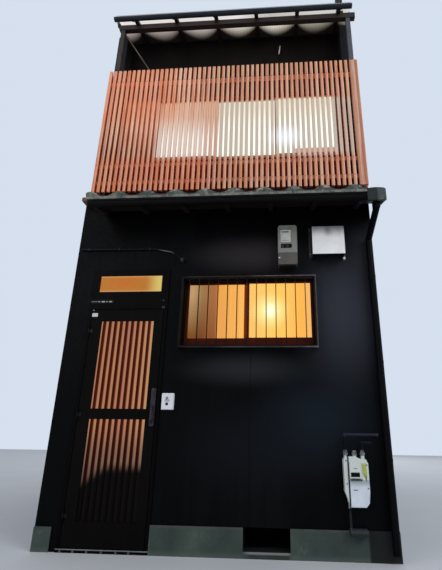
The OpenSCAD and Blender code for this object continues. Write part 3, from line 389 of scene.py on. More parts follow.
def gas_paint():
    """Off-white casing; pipes over it and the bracket on the base dark."""
    s = Shader("gas_paint")
    s.col = s.clouds(s.noise(30, 4), (0.003, 0.003, 0.004), (0.006, 0.006, 0.008))
    s.lay((48, 48, 60), s.on_z(0.909, 0.913), s.span(s.noise(9, 3), 0.3, 0.6, 0.6, 0.9))
    s.lay((62, 66, 70), s.band_z(0.868, 0.872, 0.905, 0.909), s.on_x(1205, 1225), 0.8)
    s.lay((36, 39, 41), s.on_z(0.37, 0.36, smooth=False))
    s.lay(s.mix(s.on_z(0.215, 0.2), (58, 60, 62), (38, 44, 44)), s.on_z(0.25, 0.24, smooth=False))
    unions = s.ramp(s.noise(60, 3), [(0.35, (60, 62, 62)), (0.65, (150, 152, 148))])
    s.lay(unions, s.band_z(0.75, 0.76, 0.802, 0.812, smooth=False))
    pipes = s.col
    body = s.mul(s.band_z(0.378, 0.386, 0.762, 0.770, smooth=False), s.on_y(-31, -34, smooth=False))
    s.col = s.clouds(s.noise(9, 4), (200, 206, 214), (224, 228, 234))
    s.lay((209, 213, 205), s.most(s.on_z(0.585, 0.59, smooth=False), s.on_x(1103, 1099)))
    s.lay((120, 122, 120), s.span(s.noise(22, 6, 0.7, (1, 1, 0.3)), 0.55, 0.8), 0.35)
    # painted shade under the hood line
    s.lay((120, 133, 124), s.band_z(0.53, 0.575, 0.586, 0.592), s.on_x(1100, 1106, 0, 0.6))
    s.lay((0.004, 0.004, 0.005), s.band_x(1091, 1093, 1102.5, 1104), 0.92)
    return s.finish(color=s.mix(body, pipes, s.col), rough=s.patchy(0.3, 0.48), spec=s.span(body, 0, 1, 0.06, 0.35))


def tag_paint():
    """Yellow-green tag, pale at its top and darker at its pointed foot."""
    s = Shader("yellow_green_tag")
    s.col = s.clouds(s.noise(30, 4), (160, 170, 76), (180, 190, 96))
    s.lay((196, 202, 150), s.on_z(0.69, 0.715, 0, 0.7))
    s.lay((76, 86, 40), s.on_z(0.65, 0.59, 0, 0.8))
    return s.finish(rough=0.45, spec=0.3)


def conduit_paint():
    """Dark conduit and lamps, with painted highlights near the conduit's bend and on the wall lamp."""
    s = Shader("conduit_paint")
    s.col = s.clouds(s.noise(40, 4), (0.0025, 0.0025, 0.003), (0.009, 0.009, 0.011))
    # painted highlights near the conduit's bend and on the wall lamp
    s.lay((120, 116, 118), spot(s, -560, 2645, 130, 60), 0.7)
    s.lay((96, 94, 98), spot(s, -395, 2535, 34, 34), 0.4)
    return s.finish(rough=0.42, spec=0.1)


def meter_paint():
    """Grey moulding, darker on the cover below the groove, with its underside painted near-black as shade."""
    s = Shader("meter_paint")
    cloud = s.noise(12, 4)
    s.col = s.clouds(cloud, (118, 117, 108), (136, 135, 126))
    s.lay(s.clouds(cloud, (73, 68, 60), (89, 84, 76)), s.on_z(2.572, 2.568, smooth=False))
    # painted shade: the underside nearly black
    s.lay((0.008, 0.008, 0.008), s.on_z(2.452, 2.447, smooth=False))
    return s.finish((s.noise(140, 4), 0.12, 0.001), rough=s.patchy(0.4, 0.55), spec=0.4)


def post_paint():
    """Grey paint; the left post, under the neighbour's eave, is darker and browner."""
    s = Shader("post_grey")
    s.col = s.clouds(s.noise(5, 4, 0.6), (66, 65, 67), (88, 87, 90))
    s.lay(s.clouds(s.noise(7, 4, 0.6), (40, 35, 32), (66, 58, 54)), s.on_x(-600, -700))
    s.lay((44, 36, 32), s.span(s.noise(24, 6, 0.7, (1, 1, 0.25)), 0.5, 0.8), 0.5)
    return s.finish(rough=s.patchy(0.42, 0.6), spec=0.2)


def grille_paint():
    """Dark bars; the outer rails carry a painted highlight along the top, the right and the bottom."""
    s = Shader("grille_dark")
    (x0, _, z0), (x1, _, z1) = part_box("window_grille")
    x, z = s.x, s.z
    # painted highlight along the outer rails, broken up by a noise
    uneven_highlight = s.span(s.noise(10, 5, 0.7), 0.3, 0.6, 0.45, 1.0)
    top = s.mul(s.span(z, z1 - 0.012, z1 - 0.006), s.on_x(240, 420, 0.2, 1.0))
    right = s.mul(s.span(x, x1 - 0.014, x1 - 0.006), 0.65)
    low = s.mul(s.span(z, z0 + 0.014, z0 + 0.008), s.span(x, x1 - 0.16, x1 - 0.02, 0.45, 1.3))
    share = s.mul(s.most(top, s.most(right, s.mul(low, s.on_x(-60, 160, 0.35, 1.0)))), uneven_highlight)
    share = s.mul(share, s.span(x, x0 + 0.01, x0 + 0.1))
    s.col = s.clouds(s.noise(9, 3), (12, 9, 8), (26, 19, 17))
    # the bars take the colour of the light that comes past them
    lit = s.band_z(1.75, 1.78, 2.26, 2.29)
    lit = s.mul(lit, s.span(x, x0 + 0.03, x0 + 0.04), s.span(x, x1 - 0.03, x1 - 0.04))
    warm = s.mix(s.on_x(-200, 0), (50, 22, 4), (84, 32, 6))
    warm = s.mix(s.on_x(240, 340), warm, (120, 76, 22))
    s.lay(warm, lit)
    # lays the painted highlight on the outer rails
    s.lay((100, 94, 89), share)
    return s.finish(rough=0.45, spec=0.06)


def fired_tile():
    """Grey-green tile: painted shade and dirt in the troughs and painted light on the crests, mossy and chalky in
    patches, the verge tile darker and weathered, with painted shade over its left half and its side.
    """
    s = Shader("weathered_tile")
    tint = s.add("ShaderNodeAttribute", attribute_name="tint").outputs["Fac"]
    blotch = s.noise(13, 6, 0.72)
    fine = s.noise(70, 5, 0.7)
    s.col = s.ramp(s.madd(tint, 0.34, s.madd(blotch, 0.55, 0.08)),
                   [(0.2, (44, 49, 47)), (0.5, (84, 92, 86)), (0.8, (126, 131, 122))])
    s.lay((74, 84, 62), s.span(s.noise(2.2, 5, 0.7), 0.52, 0.7, 0, 0.5))
    # painted shade and dirt in the troughs, painted light on the crests, to show each tile's roll
    height = s.add("ShaderNodeAttribute", attribute_name="crest").outputs["Fac"]
    s.lay((26, 30, 28), s.span(height, 0.5, 0.0, 0, 0.72))
    s.lay((150, 154, 146), s.span(height, 0.75, 0.95), s.span(height, 1.0, 0.99, 0, 0.35))
    pale = s.mul(s.span(s.noise(9, 6, 0.78), 0.52, 0.64), s.on_z(3.5, 3.4, 0.35, 1.0))
    s.lay((186, 178, 166), pale, s.madd(s.on_z(3.04, 3.07), 0.35, 0.4))
    front = s.on_y(-440, -446)
    eave = s.mul(s.on_z(3.32, 3.3), front)
    s.lay((30, 36, 34), s.span(s.noise(26, 6, 0.8), 0.5, 0.6, 0, 0.75), eave)
    s.lay((116, 124, 84), s.on_x(-900, -1000), s.span(s.noise(16, 4), 0.45, 0.55, 0, 0.5), eave)
    s.lay((190, 164, 152), s.span(s.noise(19, 5, 0.7), 0.5, 0.6), s.on_z(3.038, 3.052, 0, 0.75), eave)
    lip = s.mul(s.on_z(3.026, 3.021), front, s.on_x(1367, 1365))
    s.lay((138, 138, 128), lip, s.span(s.noise(14, 5, 0.8), 0.4, 0.6, 0.1, 0.8))
    # the verge tile is darker than the rest; painted shade and weathering make its left half nearly black, and painted
    # shade its side
    low = s.on_z(3.3, 3.29)
    s.lay((58, 68, 68), s.on_x(1365, 1367), low, 0.55)
    s.lay((20, 24, 24), s.most(s.band_x(1366, 1368, 1446, 1466), s.on_x(1530, 1531.5)), low, 0.86)
    return s.finish((s.math("ADD", fine, blotch), 0.5, 0.004), spec=0.25, rough=s.span(fine, 0.3, 0.7, 0.6, 0.85))


def cast_concrete():
    """Grey-green concrete, damp in patches and pale along worn edges; painted black as shade inside, where it shows
    under the floor.
    """
    s = Shader("cast_concrete")
    cloud = s.noise(2.4, 5, 0.6)
    speck = s.noise(120, 4, 0.8)
    s.col = s.ramp(s.madd(speck, 0.25, s.mul(cloud, 0.8)),
                   [(0.3, (44, 54, 48)), (0.55, (61, 73, 65)), (0.8, (92, 102, 93))])
    s.lay((50, 60, 55), s.span(s.noise(4, 5, 0.7, (1, 1, 0.4)), 0.52, 0.7, 0, 0.6))
    s.lay((104, 112, 104), s.on_z(0.05, 0.0), 0.3)
    top = s.mul(s.on_z(0.19, 0.21), s.span(s.noise(12, 4), 0.35, 0.6))
    s.lay((84, 76, 78), top, 0.6)
    s.lay((128, 136, 132), s.span(s.noise(5, 4, 0.6, (1, 1, 0.5)), 0.62, 0.72, 0.0, 0.45))
    # the low strip under the wall has a pale worn top edge and a damp face
    ahead = s.band_x(236, 316, 600, 640)
    s.lay((136, 142, 132), s.band_z(0.030, 0.036, 0.047, 0.052), ahead, 0.75)
    s.lay((46, 48, 42), s.on_z(0.030, 0.026), ahead, s.span(s.noise(9, 4), 0.3, 0.6, 0.4, 0.9))
    s.lay((9, 11, 10), s.on_x(1226, 1250, 0, 0.92), s.on_y(0, -10))
    # painted shade: the inside of the foundation, seen behind its front, nearly black
    (x0, _, _), (x1, y1, _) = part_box("foundation")
    inside = s.mul(s.on_y(-11, -6), s.span(s.y, y1 - 0.01, y1 - 0.02))
    s.lay((0.003, 0.003, 0.003), inside, s.span(s.x, x0 + 0.03, x0 + 0.04), s.span(s.x, x1 - 0.03, x1 - 0.04))
    return s.finish((s.math("ADD", speck, cloud), 0.6, 0.004), rough=0.8, spec=0.3)


def fittings_metal():
    """Dull bronze; the hinges on the leaf's left side are near-black, like the door."""
    s = Shader("handle_bronze")
    s.col = s.clouds(s.noise(40, 4), (38, 34, 38), (64, 58, 64))
    s.lay((0.002, 0.002, 0.002), s.on_x(-1190, -1195))
    return s.finish(metal=0.3, spec=0.2, rough=s.patchy(0.3, 0.48))


def lit_glass(name, col_at, power):
    """Frosted glass lit from inside. col_at(shader) gives the light's colour over the pane."""
    s = Shader(name)
    frost = s.noise(160, 3)
    return s.finish((frost, 0.15, 0.001), color=(0.004, 0.003, 0.002), rough=0.35, spec=0.05, glow=col_at(s),
                    power=s.mul(s.span(frost, 0.2, 0.8, 0.92, 1.06), power))


def spot(s, x, z, rx, rz):
    """1 at a facade point, falling to 0 at the given radii in millimetres."""
    dx = s.math("DIVIDE", s.sub(s.x, wx(x)), rx / 1000)
    dz = s.math("DIVIDE", s.sub(s.z, z / 1000), rz / 1000)
    d = s.math("SQRT", s.math("ADD", s.mul(dx, dx), s.mul(dz, dz)))
    return s.span(d, 1.0, 0.0)


def above_cut_off(s):
    """1 where light from inside reaches the door's panes, 0 low down where something stands behind them."""
    right = s.on_x(-1140, -930, smooth=False)
    return s.span(s.sub(s.z, s.madd(right, 0.13, 0.47)), -0.01, 0.09)


def door_slats():
    """Black-brown slats that glow dark red where the light comes past them."""
    s = Shader("door_lattice_timber")
    grain = s.grain()
    plain = s.clouds(grain, (5, 4, 3), (11, 8, 7))
    lit = s.mix(s.on_z(0.6, 1.1), (38, 9, 1), (76, 22, 3))
    lit = s.mix(s.span(grain, 0.35, 0.65, 0, 0.35), lit, (34, 9, 2))
    return s.finish((grain, 0.4, 0.003), color=s.mix(above_cut_off(s), plain, lit), rough=0.6, spec=0.04)


def door_light(s):
    """Warm light through the door's panes, cut off low down by what stands behind them."""
    up = above_cut_off(s)
    u = s.math("DIVIDE", s.sub(wx(-627.5), s.x), DOOR_PITCH)
    cloud = s.madd(s.noise(3.0, 3), 0.6, s.mul(s.chance(u), 0.35))
    s.col = s.ramp(cloud, [(0.25, (170, 114, 94)), (0.5, (172, 120, 91)), (0.75, (178, 128, 88))])
    s.lay((196, 154, 108), s.on_x(-800, -640, 0, 0.5))
    s.lay((118, 91, 78), s.on_z(1.05, 0.7), 0.9)
    s.lay((88, 69, 61), s.on_z(0.72, 0.56), 0.8)
    # each slat throws its shadow on the pane beside it
    share = s.math("FRACT", u)
    shadow = s.mix(s.on_z(0.6, 1.05), (34, 8, 1), (84, 22, 8))
    s.lay(shadow, s.span(share, 0.42, 0.56, 0, 0.94))
    s.lay((120, 52, 26), s.span(share, 0.05, 0.0, 0, 0.5))
    return s.mix(up, (3, 2, 2), s.col)


def transom_glow(s):
    """Amber pane over the door, paler towards its right end and its rim."""
    side = s.on_x(-760, -600)
    rim = s.less(s.band_z(2.222, 2.25, 2.365, 2.395))
    s.col = s.over((184, 116, 46), (192, 108, 44), spot(s, -960, 2330, 210, 90), 0.85)
    s.lay((214, 160, 110), rim, 0.8)
    return s.mix(side, s.col, (212, 188, 108))


def window_glow(s):
    """Amber curtain light, brown behind the left sash's first panes, with a lamp's soft spot at the right."""
    u = s.on_x(-330, 200, smooth=False)
    high = s.ramp(u, [(0.09, (184, 152, 110)), (0.27, (148, 114, 72)), (0.45, (158, 102, 64)),
                      (0.53, (166, 106, 60)), (0.57, (230, 162, 76)), (1.0, (244, 177, 90))])
    low = s.ramp(u, [(0.09, (104, 66, 24)), (0.27, (110, 64, 36)), (0.45, (136, 84, 42)),
                     (0.53, (140, 86, 46)), (0.57, (228, 160, 84)), (1.0, (244, 180, 90))])
    s.col = s.mix(s.on_z(1.8, 2.2, smooth=False), low, high)
    s.lay((180, 110, 48), s.span(s.noise(24, 3, 0.5, (1, 1, 0.02)), 0.42, 0.66), 0.16)
    left = s.col
    s.col = s.ramp(s.on_x(280, 860, smooth=False),
                   [(0.04, (248, 191, 102)), (0.35, (249, 198, 100)), (0.55, (248, 194, 92)),
                    (0.7, (247, 186, 92)), (0.85, (246, 177, 76)), (1.0, (236, 178, 106))])
    s.lay((252, 244, 166), spot(s, 475, 2030, 215, 215))
    s.lay((255, 255, 226), spot(s, 478, 2032, 80, 100))
    # painted shadow of the other sash's stile across the left pane's end
    return s.mix(s.band_x(223, 228, 258, 262), s.mix(s.on_x(255, 262), left, s.col), (104, 38, 6))


def upper_glow(s):
    """Daylight-white room behind the lattice: a curtain dims the left sash above, a lamp burns at the right."""
    s.col = s.mix(s.on_z(4.7, 4.25), (200, 156, 126), (238, 230, 220))
    s.lay((150, 112, 84), s.on_x(-820, -940, 0, 0.4))
    curtain = s.col
    s.col = s.mix(s.on_z(4.9, 4.45), (222, 206, 176), (246, 243, 230))
    s.lay((206, 206, 176), s.span(s.noise(16, 3, 0.5, (1, 1, 0.05)), 0.4, 0.65), 0.3)
    s.lay((255, 255, 252), spot(s, 690, 4330, 420, 300))
    s.lay((176, 134, 116), s.on_x(740, 800), s.on_z(4.155, 4.135))
    return s.mix(s.on_x(-190, -120), curtain, s.col)


def canopy_light():
    """Translucent sheet with painted light: it glows bright at the street edge and fades in scallops between the
    rafters into painted shade.
    """
    s = Shader("canopy_sheet")
    u = s.math("DIVIDE", s.sub(s.x, wx(-1158)), RAFTER_PITCH)
    f = s.sub(s.math("FRACT", u), 0.5)
    arch = s.less(s.mul(f, f, 2.0))
    depth = s.sub(s.y, wy(-60))
    fade = s.span(s.math("DIVIDE", depth, s.mul(arch, 0.40)), 1.0, 0.25)
    s.col = s.clouds(s.noise(8, 5, 0.7), (160, 155, 140), (205, 202, 190))
    right = s.on_x(-900, 1200)
    under = s.ramp(right, [(0.0, (178, 164, 158)), (0.75, (250, 240, 224)),
                           (0.92, (196, 190, 170)), (1.0, (150, 146, 128))])
    street = s.ramp(right, [(0.0, (222, 215, 213)), (0.46, (224, 218, 218)), (0.6, (198, 191, 188)),
                            (0.74, (184, 178, 171)), (1.0, (198, 196, 193))])
    # painted light of the sky through the sheet, one tone under the sheet and another at the street edge
    glow = s.mix(s.on_y(30, 5), under, street)
    fade = s.mul(fade, s.less(s.on_y(-170, -174, smooth=False)))
    top = s.span(s.facing()[2], -0.1, 0.1)
    ridges = s.math("SINE", s.mul(s.x, 2 * math.pi / SHEET_WAVE))
    # where the glow has faded the sheet is painted dark as shade; its top faces keep their own colour and do not glow
    return s.finish((ridges, 0.6, 0.004), color=s.mix(s.most(fade, top), (40, 36, 32), s.col), rough=0.6,
                    glow=s.mix(fade, (5, 4, 4), glow), power=s.less(top))


CONCRETE = cast_concrete()
TILE = fired_tile()
SHEET = canopy_light()
GAS = gas_paint()
HANDLE = fittings_metal()
DARK_WOOD = timber("dark_timber", (16, 9, 7), (30, 17, 13), (50, 33, 26), along_x=True)
FRAME = painted("dark_frame", (7, 4, 4), 0.2, spec=0.04)
PALE = painted("pale_plate", (206, 206, 204), 0.05, 0.4, dirt=0.2)
BLACK = painted("black_moulding", (8, 8, 9), 0.2, 0.35, spec=0.08)
ALLOY = painted("dull_alloy", (128, 132, 130), 0.12, 0.35, metal=0.7, dirt=0.4)

for material, nodes in (
        (CONCRETE, "foundation ground_floor"),
        (coated_wall(), "front_wall_left front_wall_over_door front_wall_right left_party_wall right_side_wall "
                        "back_wall"),
        (timber("floor_boards", (60, 42, 30), (92, 68, 48), (128, 100, 74), along_x=True),
         "upper_floor balcony_deck"),
        (upper_boards(), "upper_front_wall upper_window_frame"),
        (FRAME, "door_frame transom_light window_frame back_window_frames"),
        (timber("door_timber", (4, 3, 3), (8, 6, 6), (16, 11, 10), spec=0.05), "door_leaf"),
        (door_slats(), "door_lattice"),
        (lit_glass("door_glow", door_light, 1.0), "door_glass"),
        (HANDLE, "door_fittings"),
        (painted("sash_brown", (74, 22, 8), 0.2, spec=0.06), "window_sashes"),
        (lit_glass("window_glow", window_glow, 1.1), "window_glass"),
        (grille_paint(), "window_grille"),
        (timber("sash_pale", (176, 140, 112), (206, 172, 142), (226, 200, 172)), "upper_window_sashes"),
        (lit_glass("upper_glow", upper_glow, 1.25), "upper_window_glass"),
        (painted("window_dark_glass", (60, 70, 76), 0.2, 0.12), "back_window_glass"),
        (DARK_WOOD, "hisashi_frame canopy_frame roof_deck"),
        (painted("gutter_black", (7, 7, 8), 0.2, 0.6, spec=0.1), "hisashi_gutter"),
        (painted("pipe_black", (7, 7, 9), 0.2, 0.5, spec=0.06), "downpipe"),
        (post_paint(), "balcony_posts"),
        (lattice_wood(), "lattice_front"),
        (timber("lattice_return_timber", (196, 108, 74), (232, 146, 108), (250, 196, 164)),
         "lattice_returns"),
        (SHEET, "canopy_sheet"),
        (painted("gutter_blue_black", (20, 30, 38), 0.2, 0.5, spec=0.25), "upper_gutter"),
        (TILE, "roof_ridge hisashi_tiles roof_tiles_front roof_tiles_back"),
        (meter_paint(), "electric_meter_box"),
        (hood_paint(), "vent_hood"),
        (GAS, "gas_meter"),
        (painted("intercom_white", (226, 226, 228), 0.03, 0.35, dirt=0.1), "intercom"),
        (conduit_paint(), "conduit_and_lamp")):
    for node in nodes.split():
        NODES[node].data.materials.clear()
        NODES[node].data.materials.append(material)


# Meshes
def placed(name, data):
    """An object with the given data in the scene."""
    ob = bpy.data.objects.new(name, data)
    bpy.context.scene.collection.objects.link(ob)
    return ob


class Build:
    """Collects boxes and faces into one mesh object."""

    def __init__(self):
        self.v, self.f, self.tint, self.crest = [], [], [], {}

    def box(self, low, high, tint=0.5):
        """Adds a plain box between two corners."""
        (x0, y0, z0), (x1, y1, z1) = low, high
        k = len(self.v)
        self.v += [Vector(p) for p in ((x0, y0, z0), (x1, y0, z0), (x1, y1, z0), (x0, y1, z0),
                                       (x0, y0, z1), (x1, y0, z1), (x1, y1, z1), (x0, y1, z1))]
        self.f += [tuple(k + i for i in q) for q in
                   ((0, 3, 2, 1), (4, 5, 6, 7), (0, 1, 5, 4), (1, 2, 6, 5), (2, 3, 7, 6), (3, 0, 4, 7))]
        self.tint += [tint] * 8
        return self

    def grid(self, top, bottom, tint=0.5, crest=None):
        """Closed sheet between two grids of points of the same shape; crest is how high each column stands."""
        rows, cols = len(top), len(top[0])
        k, n = len(self.v), rows * cols
        for layer in (top, bottom):
            for row in layer:
                self.v += row
        self.tint += [tint] * (2 * n)
        if crest:
            self.crest.update({k + i: crest[i % cols] for i in range(2 * n)})

        def index(r, c, layer=0):
            return k + layer * n + r * cols + c

        for r in range(rows - 1):
            for c in range(cols - 1):
                self.f.append((index(r, c), index(r, c + 1), index(r + 1, c + 1), index(r + 1, c)))
                self.f.append((index(r, c, 1), index(r + 1, c, 1), index(r + 1, c + 1, 1), index(r, c + 1, 1)))
        edge = [(0, c) for c in range(cols)] + [(r, cols - 1) for r in range(1, rows)]
        edge += [(rows - 1, c) for c in range(cols - 2, -1, -1)] + [(r, 0) for r in range(rows - 2, 0, -1)]
        for a, b in zip(edge, edge[1:] + edge[:1]):
            self.f.append((index(*a, 1), index(*b, 1), index(*b), index(*a)))

    def rings(self, circles, sides):
        """Closed skin over circles, each given by its centre, the way through it and its radius."""
        k = len(self.v)
        for centre, along, r in circles:
            side = along.cross(Vector((0, 0, 1)) if abs(along.z) < 0.9 else Vector((1, 0, 0))).normalized()
            up = side.cross(along)
            for j in range(sides):
                w = 2 * math.pi * j / sides
                self.v.append(centre + side * (math.cos(w) * r) + up * (math.sin(w) * r))
        self.tint += [0.5] * (sides * len(circles))
        last = k + sides * (len(circles) - 1)
        for a in range(k, last, sides):
            for j in range(sides):
                n = (j + 1) % sides
                self.f.append((a + j, a + n, a + n + sides, a + j + sides))
        self.f += [tuple(range(k, k + sides))[::-1], tuple(range(last, last + sides))]
        return self

    def tube(self, points, r, sides=16):
        """Round bar through the given points, closed at both ends."""
        ways = [(b - a).normalized() for a, b in zip(points[:1] + points, points[1:] + points[-1:])]
        return self.rings([(p, way, r) for p, way in zip(points, ways)], sides)

    def turned(self, centre, profile, axis=AHEAD, sides=20):
        """Solid of revolution: profile is a list of (distance along the axis, radius)."""
        axis = axis.normalized()
        return self.rings([(centre + axis * along, axis, r) for along, r in profile], sides)

    def bare(self, name, material):
        mesh = bpy.data.meshes.new(name)
        mesh.from_pydata([tuple(p) for p in self.v], [], self.f)
        crest = [self.crest.get(i, 1.0) for i in range(len(self.v))]
        for key, values in (("tint", self.tint), ("crest", crest)):
            mesh.attributes.new(key, "FLOAT", "POINT").data.foreach_set("value", values)
        mesh.materials.append(material)
        mesh.update()
        return placed(name, mesh)

    def object(self, name, material, body="house", slot=None, smooth=None, bevel=0.0):
        """The mesh as a piece of a body, with smooth faces up to an angle or with rounded edges."""
        ob = self.bare(name, material)
        if smooth:
            ob.data.shade_smooth()
            ob.data.set_sharp_from_angle(angle=math.radians(smooth))
        if bevel:
            b = ob.modifiers.new("edge", "BEVEL")
            b.width, b.segments, b.limit_method = bevel, 2, "ANGLE"
        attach(ob, body)
        return ob


def plates(name, material, *boxes, body="house", slot=None, bevel=0.002):
    """Boxes on the front as one object, each given by x0, x1, y0, y1, z0, z1 in wall millimetres."""
    b = Build()
    for x0, x1, y0, y1, z0, z1 in boxes:
        b.box(at(x0, y0, z0), at(x1, y1, z1))
    b.object(name, material, body, slot, bevel=bevel)


def knobs(name, material, profile, *places, body="house", axis=AHEAD, sides=20, smooth=40):
    """Equal turned pieces on the front as one object, at places in wall millimetres."""
    b = Build()
    for place in places:
        b.turned(at(*place), profile, axis, sides)
    b.object(name, material, body, smooth=smooth)


def wave(u):
    """Height of the pantile's roll u tile widths from a crest."""
    return ROLL * (0.5 + 0.5 * math.cos(2 * math.pi * u)) ** 1.5


def tiles(name, nodes, right_x, width, phase, origin, fall, depth, short, mirror=False):
    """Loose pantiles in lapped courses over a bed. origin is the eave edge's point on the bed's underside;
    the courses stop a little short of the slope's whole depth."""
    b = Build()
    slope = math.atan(fall)
    ca, sa = math.cos(slope), math.sin(slope)
    run = depth / ca - short
    turn = -1 if mirror else 1

    def place(u, v, h):
        return Vector((right_x - u, origin[1] + turn * (v * ca - h * sa), origin[2] + v * sa + h * ca))

    low, top = ([[place(u, v, h) for u in (0, width)] for v in (0.012, run)] for h in (0.001, BED - 0.012))
    b.grid(low, top, 0.3)
    for k in range(math.ceil(run / COURSE - 0.2)):
        v0 = k * COURSE
        v1 = min(run, v0 + COURSE + LAP)
        for j in range(math.ceil((width + phase) / TILE_W + 0.5)):
            # one tile runs from just past a crest to the next crest
            us = [(j + 0.06 + (i / TILE_STEPS)) * TILE_W - phase for i in range(TILE_STEPS + 1)]
            us = [min(max(u, 0.0), width) for u in us]
            if us[-1] - us[0] < 0.01:
                continue
            tint = rng.random()
            lift = rng.uniform(-0.0015, 0.0025)
            skew = rng.uniform(-0.004, 0.004)
            rolls = [wave((u + phase) / TILE_W) for u in us]
            ups, lows = [], []
            # cross-sections from the thick lower end, with its rounded edge, to the head under the next course
            for v, extra in ((v0, 0.007), (v0 + 0.006, 0.009), ((v0 + v1) / 2, 0.002), (v1, -0.006)):
                thick = 0.016 if v > v0 else 0.013
                heights = [BED + roll + extra + lift for roll in rolls]
                skewed = [v + skew * (u - us[0]) if v < run - 0.02 else v for u in us]
                ups.append([place(*p) for p in zip(us, skewed, heights)])
                lows.append([place(u, v, max(0.002, h - thick)) for u, h in zip(us, heights)])
            if mirror:
                ups, lows = lows, ups
            b.grid(lows, ups, tint, [roll / ROLL for roll in rolls])
            if k == 0:
                # the bedding closes the rolls at the eave
                front, back = ([[place(u, v, 0.0) for u in us],
                                [place(u, v, BED + roll - under) for u, roll in zip(us, rolls)]]
                               for v, under in ((0.0, 0.004), (0.018, 0.006)))
                if mirror:
                    front, back = back, front
                b.grid(back, front, tint)
    ob = b.object(name, TILE, slot="roof_tile", smooth=40)
    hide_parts(*nodes)


def hisashi():
    """Pantiles of the lower roof, and the verge tile at its right end: two lapped courses with aprons."""
    low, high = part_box("hisashi_tiles")
    x0, x1, eave = high[0] - VERGE_W, high[0], low[2] + APRON
    out = 450
    tiles("hisashi_pantiles", ["hisashi_tiles"], x0, x0 - low[0], VERGE_W, Vector((0, low[1], eave)), EAVE_FALL,
          out / 1000, 0.002)
    x0 += 0.0005
    b = Build()
    for k, (y0, y1, lift) in enumerate(((-out, -214, 0.0), (-226, 0, 0.009))):
        rows = [(wy(y), eave + EAVE_FALL * (y + out) / 1000) for y in (y0, y1)]
        xs = [x0 + (x1 - x0) * i / 12 for i in range(13)]
        roll = [0.033 + 0.008 * math.sin(math.pi * i / 12) - (0.012 if i == 12 else 0.0) for i in range(13)]
        top = [[Vector((x, y, min(z + lift + r, 3.1995))) for y, z in rows] for x, r in zip(xs, roll)]
        low = [[Vector((x, y, z + 0.0005)) for y, z in rows] for x in xs]
        b.grid(low, top, 0.25 + 0.2 * k)
        outer, inner = ([[Vector((x, y, z + h)) for y, z in rows] for h in (-APRON, 0.02)]
                        for x in (x1 + 0.001 * k, x1 - 0.02))
        b.grid(inner, outer, 0.2)
    b.box((x0, wy(-out - 0.5), eave - APRON), (x1, wy(20 - out), eave + 0.026), 0.25)
    b.object("verge_tile", TILE, slot="roof_tile", bevel=0.003)


def roof_tiles():
    """Both slopes of the main roof in lapped pantiles."""
    (ax, ay, az), (bx, by, _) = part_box("roof_tiles_front")
    (cx, _, cz), (dx, dy, _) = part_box("roof_tiles_back")
    tiles("roof_pantiles_front", ["roof_tiles_front"], bx, bx - ax, 0.0, Vector((0, ay, az)), ROOF_FALL, by - ay,
          0.02)
    tiles("roof_pantiles_back", ["roof_tiles_back"], dx, dx - cx, 0.0, Vector((0, dy, cz)), ROOF_FALL, by - ay,
          0.02, mirror=True)


def corrugated_sheet():
    """Thin corrugated sheet over the canopy's rafters."""
    (x0, y0, z0), (x1, y1, _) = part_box("canopy_sheet")
    count = int((x1 - x0) / 0.004)
    top, low = [], []
    for i in range(count + 1):
        x = x0 + (x1 - x0) * i / count
        h = z0 + 0.0045 + SHEET_RISE * math.sin(2 * math.pi * x / SHEET_WAVE)
        for layer, over in ((top, 0.0012), (low, -0.0002)):
            layer.append([Vector((x, y, h + over + EAVE_FALL * (y - y0))) for y in (y0, (y0 + y1) / 2, y1)])
    b = Build()
    b.grid(low, top)
    ob = b.object("corrugated_sheet", SHEET, slot="sheet", smooth=50)
    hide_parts("canopy_sheet")


def door_surround():
    """Pane, plates, knobs, nosing and feet round the door."""
    glow = lit_glass("transom_glow", transom_glow, 1.0)
    plates("transom_pane", glow, (-1202, -582, 0.5, 1.2, 2223, 2388.5), slot="amber_glass", bevel=0.0)
    # pale plate without words on the leaf, and a knob over it
    plates("leaf_plate", PALE, (-1238, -1182, -14.5, -12, 1970, 2006), body="door")
    knobs("leaf_knob", ALLOY, [(0, 0.007), (0.004, 0.007), (0.006, 0.004)], (-1228, -12, 2034), body="door")
    # dark plate with a row of plain raised marks on the bar over the door
    plates("bar_plate", BLACK, (-1274, -1034, -16, -12, 2100, 2141))
    marks = ((-1262, -1204, 5), (-1196, -1176, 9), (-1162, -1128, 14), (-1118, -1098, 8), (-1088, -1056, 13))
    plates("bar_marks", ALLOY, *((x0, x1, -17.5, -15.9, 2120 - h / 2, 2120 + h / 2) for x0, x1, h in marks),
           bevel=0.0006)
    b = Build()
    for x, z, r in ((-549, 2126, 0.011), (-546, 2057, 0.015)):
        b.turned(at(x, -12, z), [(0, r), (0.008, r), (0.013, r * 0.6), (0.014, r * 0.2)])
    b.object("frame_buttons", HANDLE, smooth=40)
    plates("threshold_nosing", ALLOY, (-1275, -509, -16, -6, 21, 29), bevel=0.001)
    feet = (-1234, -1126, -1010, -889, -770, -665)
    plates("threshold_feet", CONCRETE, *((x - 8, x + 8, -15, -6, 0, 20.5) for x in feet), bevel=0.001)


def intercom_face():
    """Button, lens and sound slots of the door station."""
    knobs("intercom_button", HANDLE, [(0, 0.013), (0.002, 0.013), (0.0035, 0.011)], (-438, -28.5, 1164))
    knobs("intercom_lens", ALLOY, [(0, 0.012), (0.003, 0.012), (0.005, 0.009)], (-440, -27.5, 1214))
    heights = [1184 + k * 4.2 for k in range(5)]
    plates("intercom_slots", ALLOY, *((-462, -414, -32.4, -31.6, z, z + 2) for z in heights), bevel=0.0)


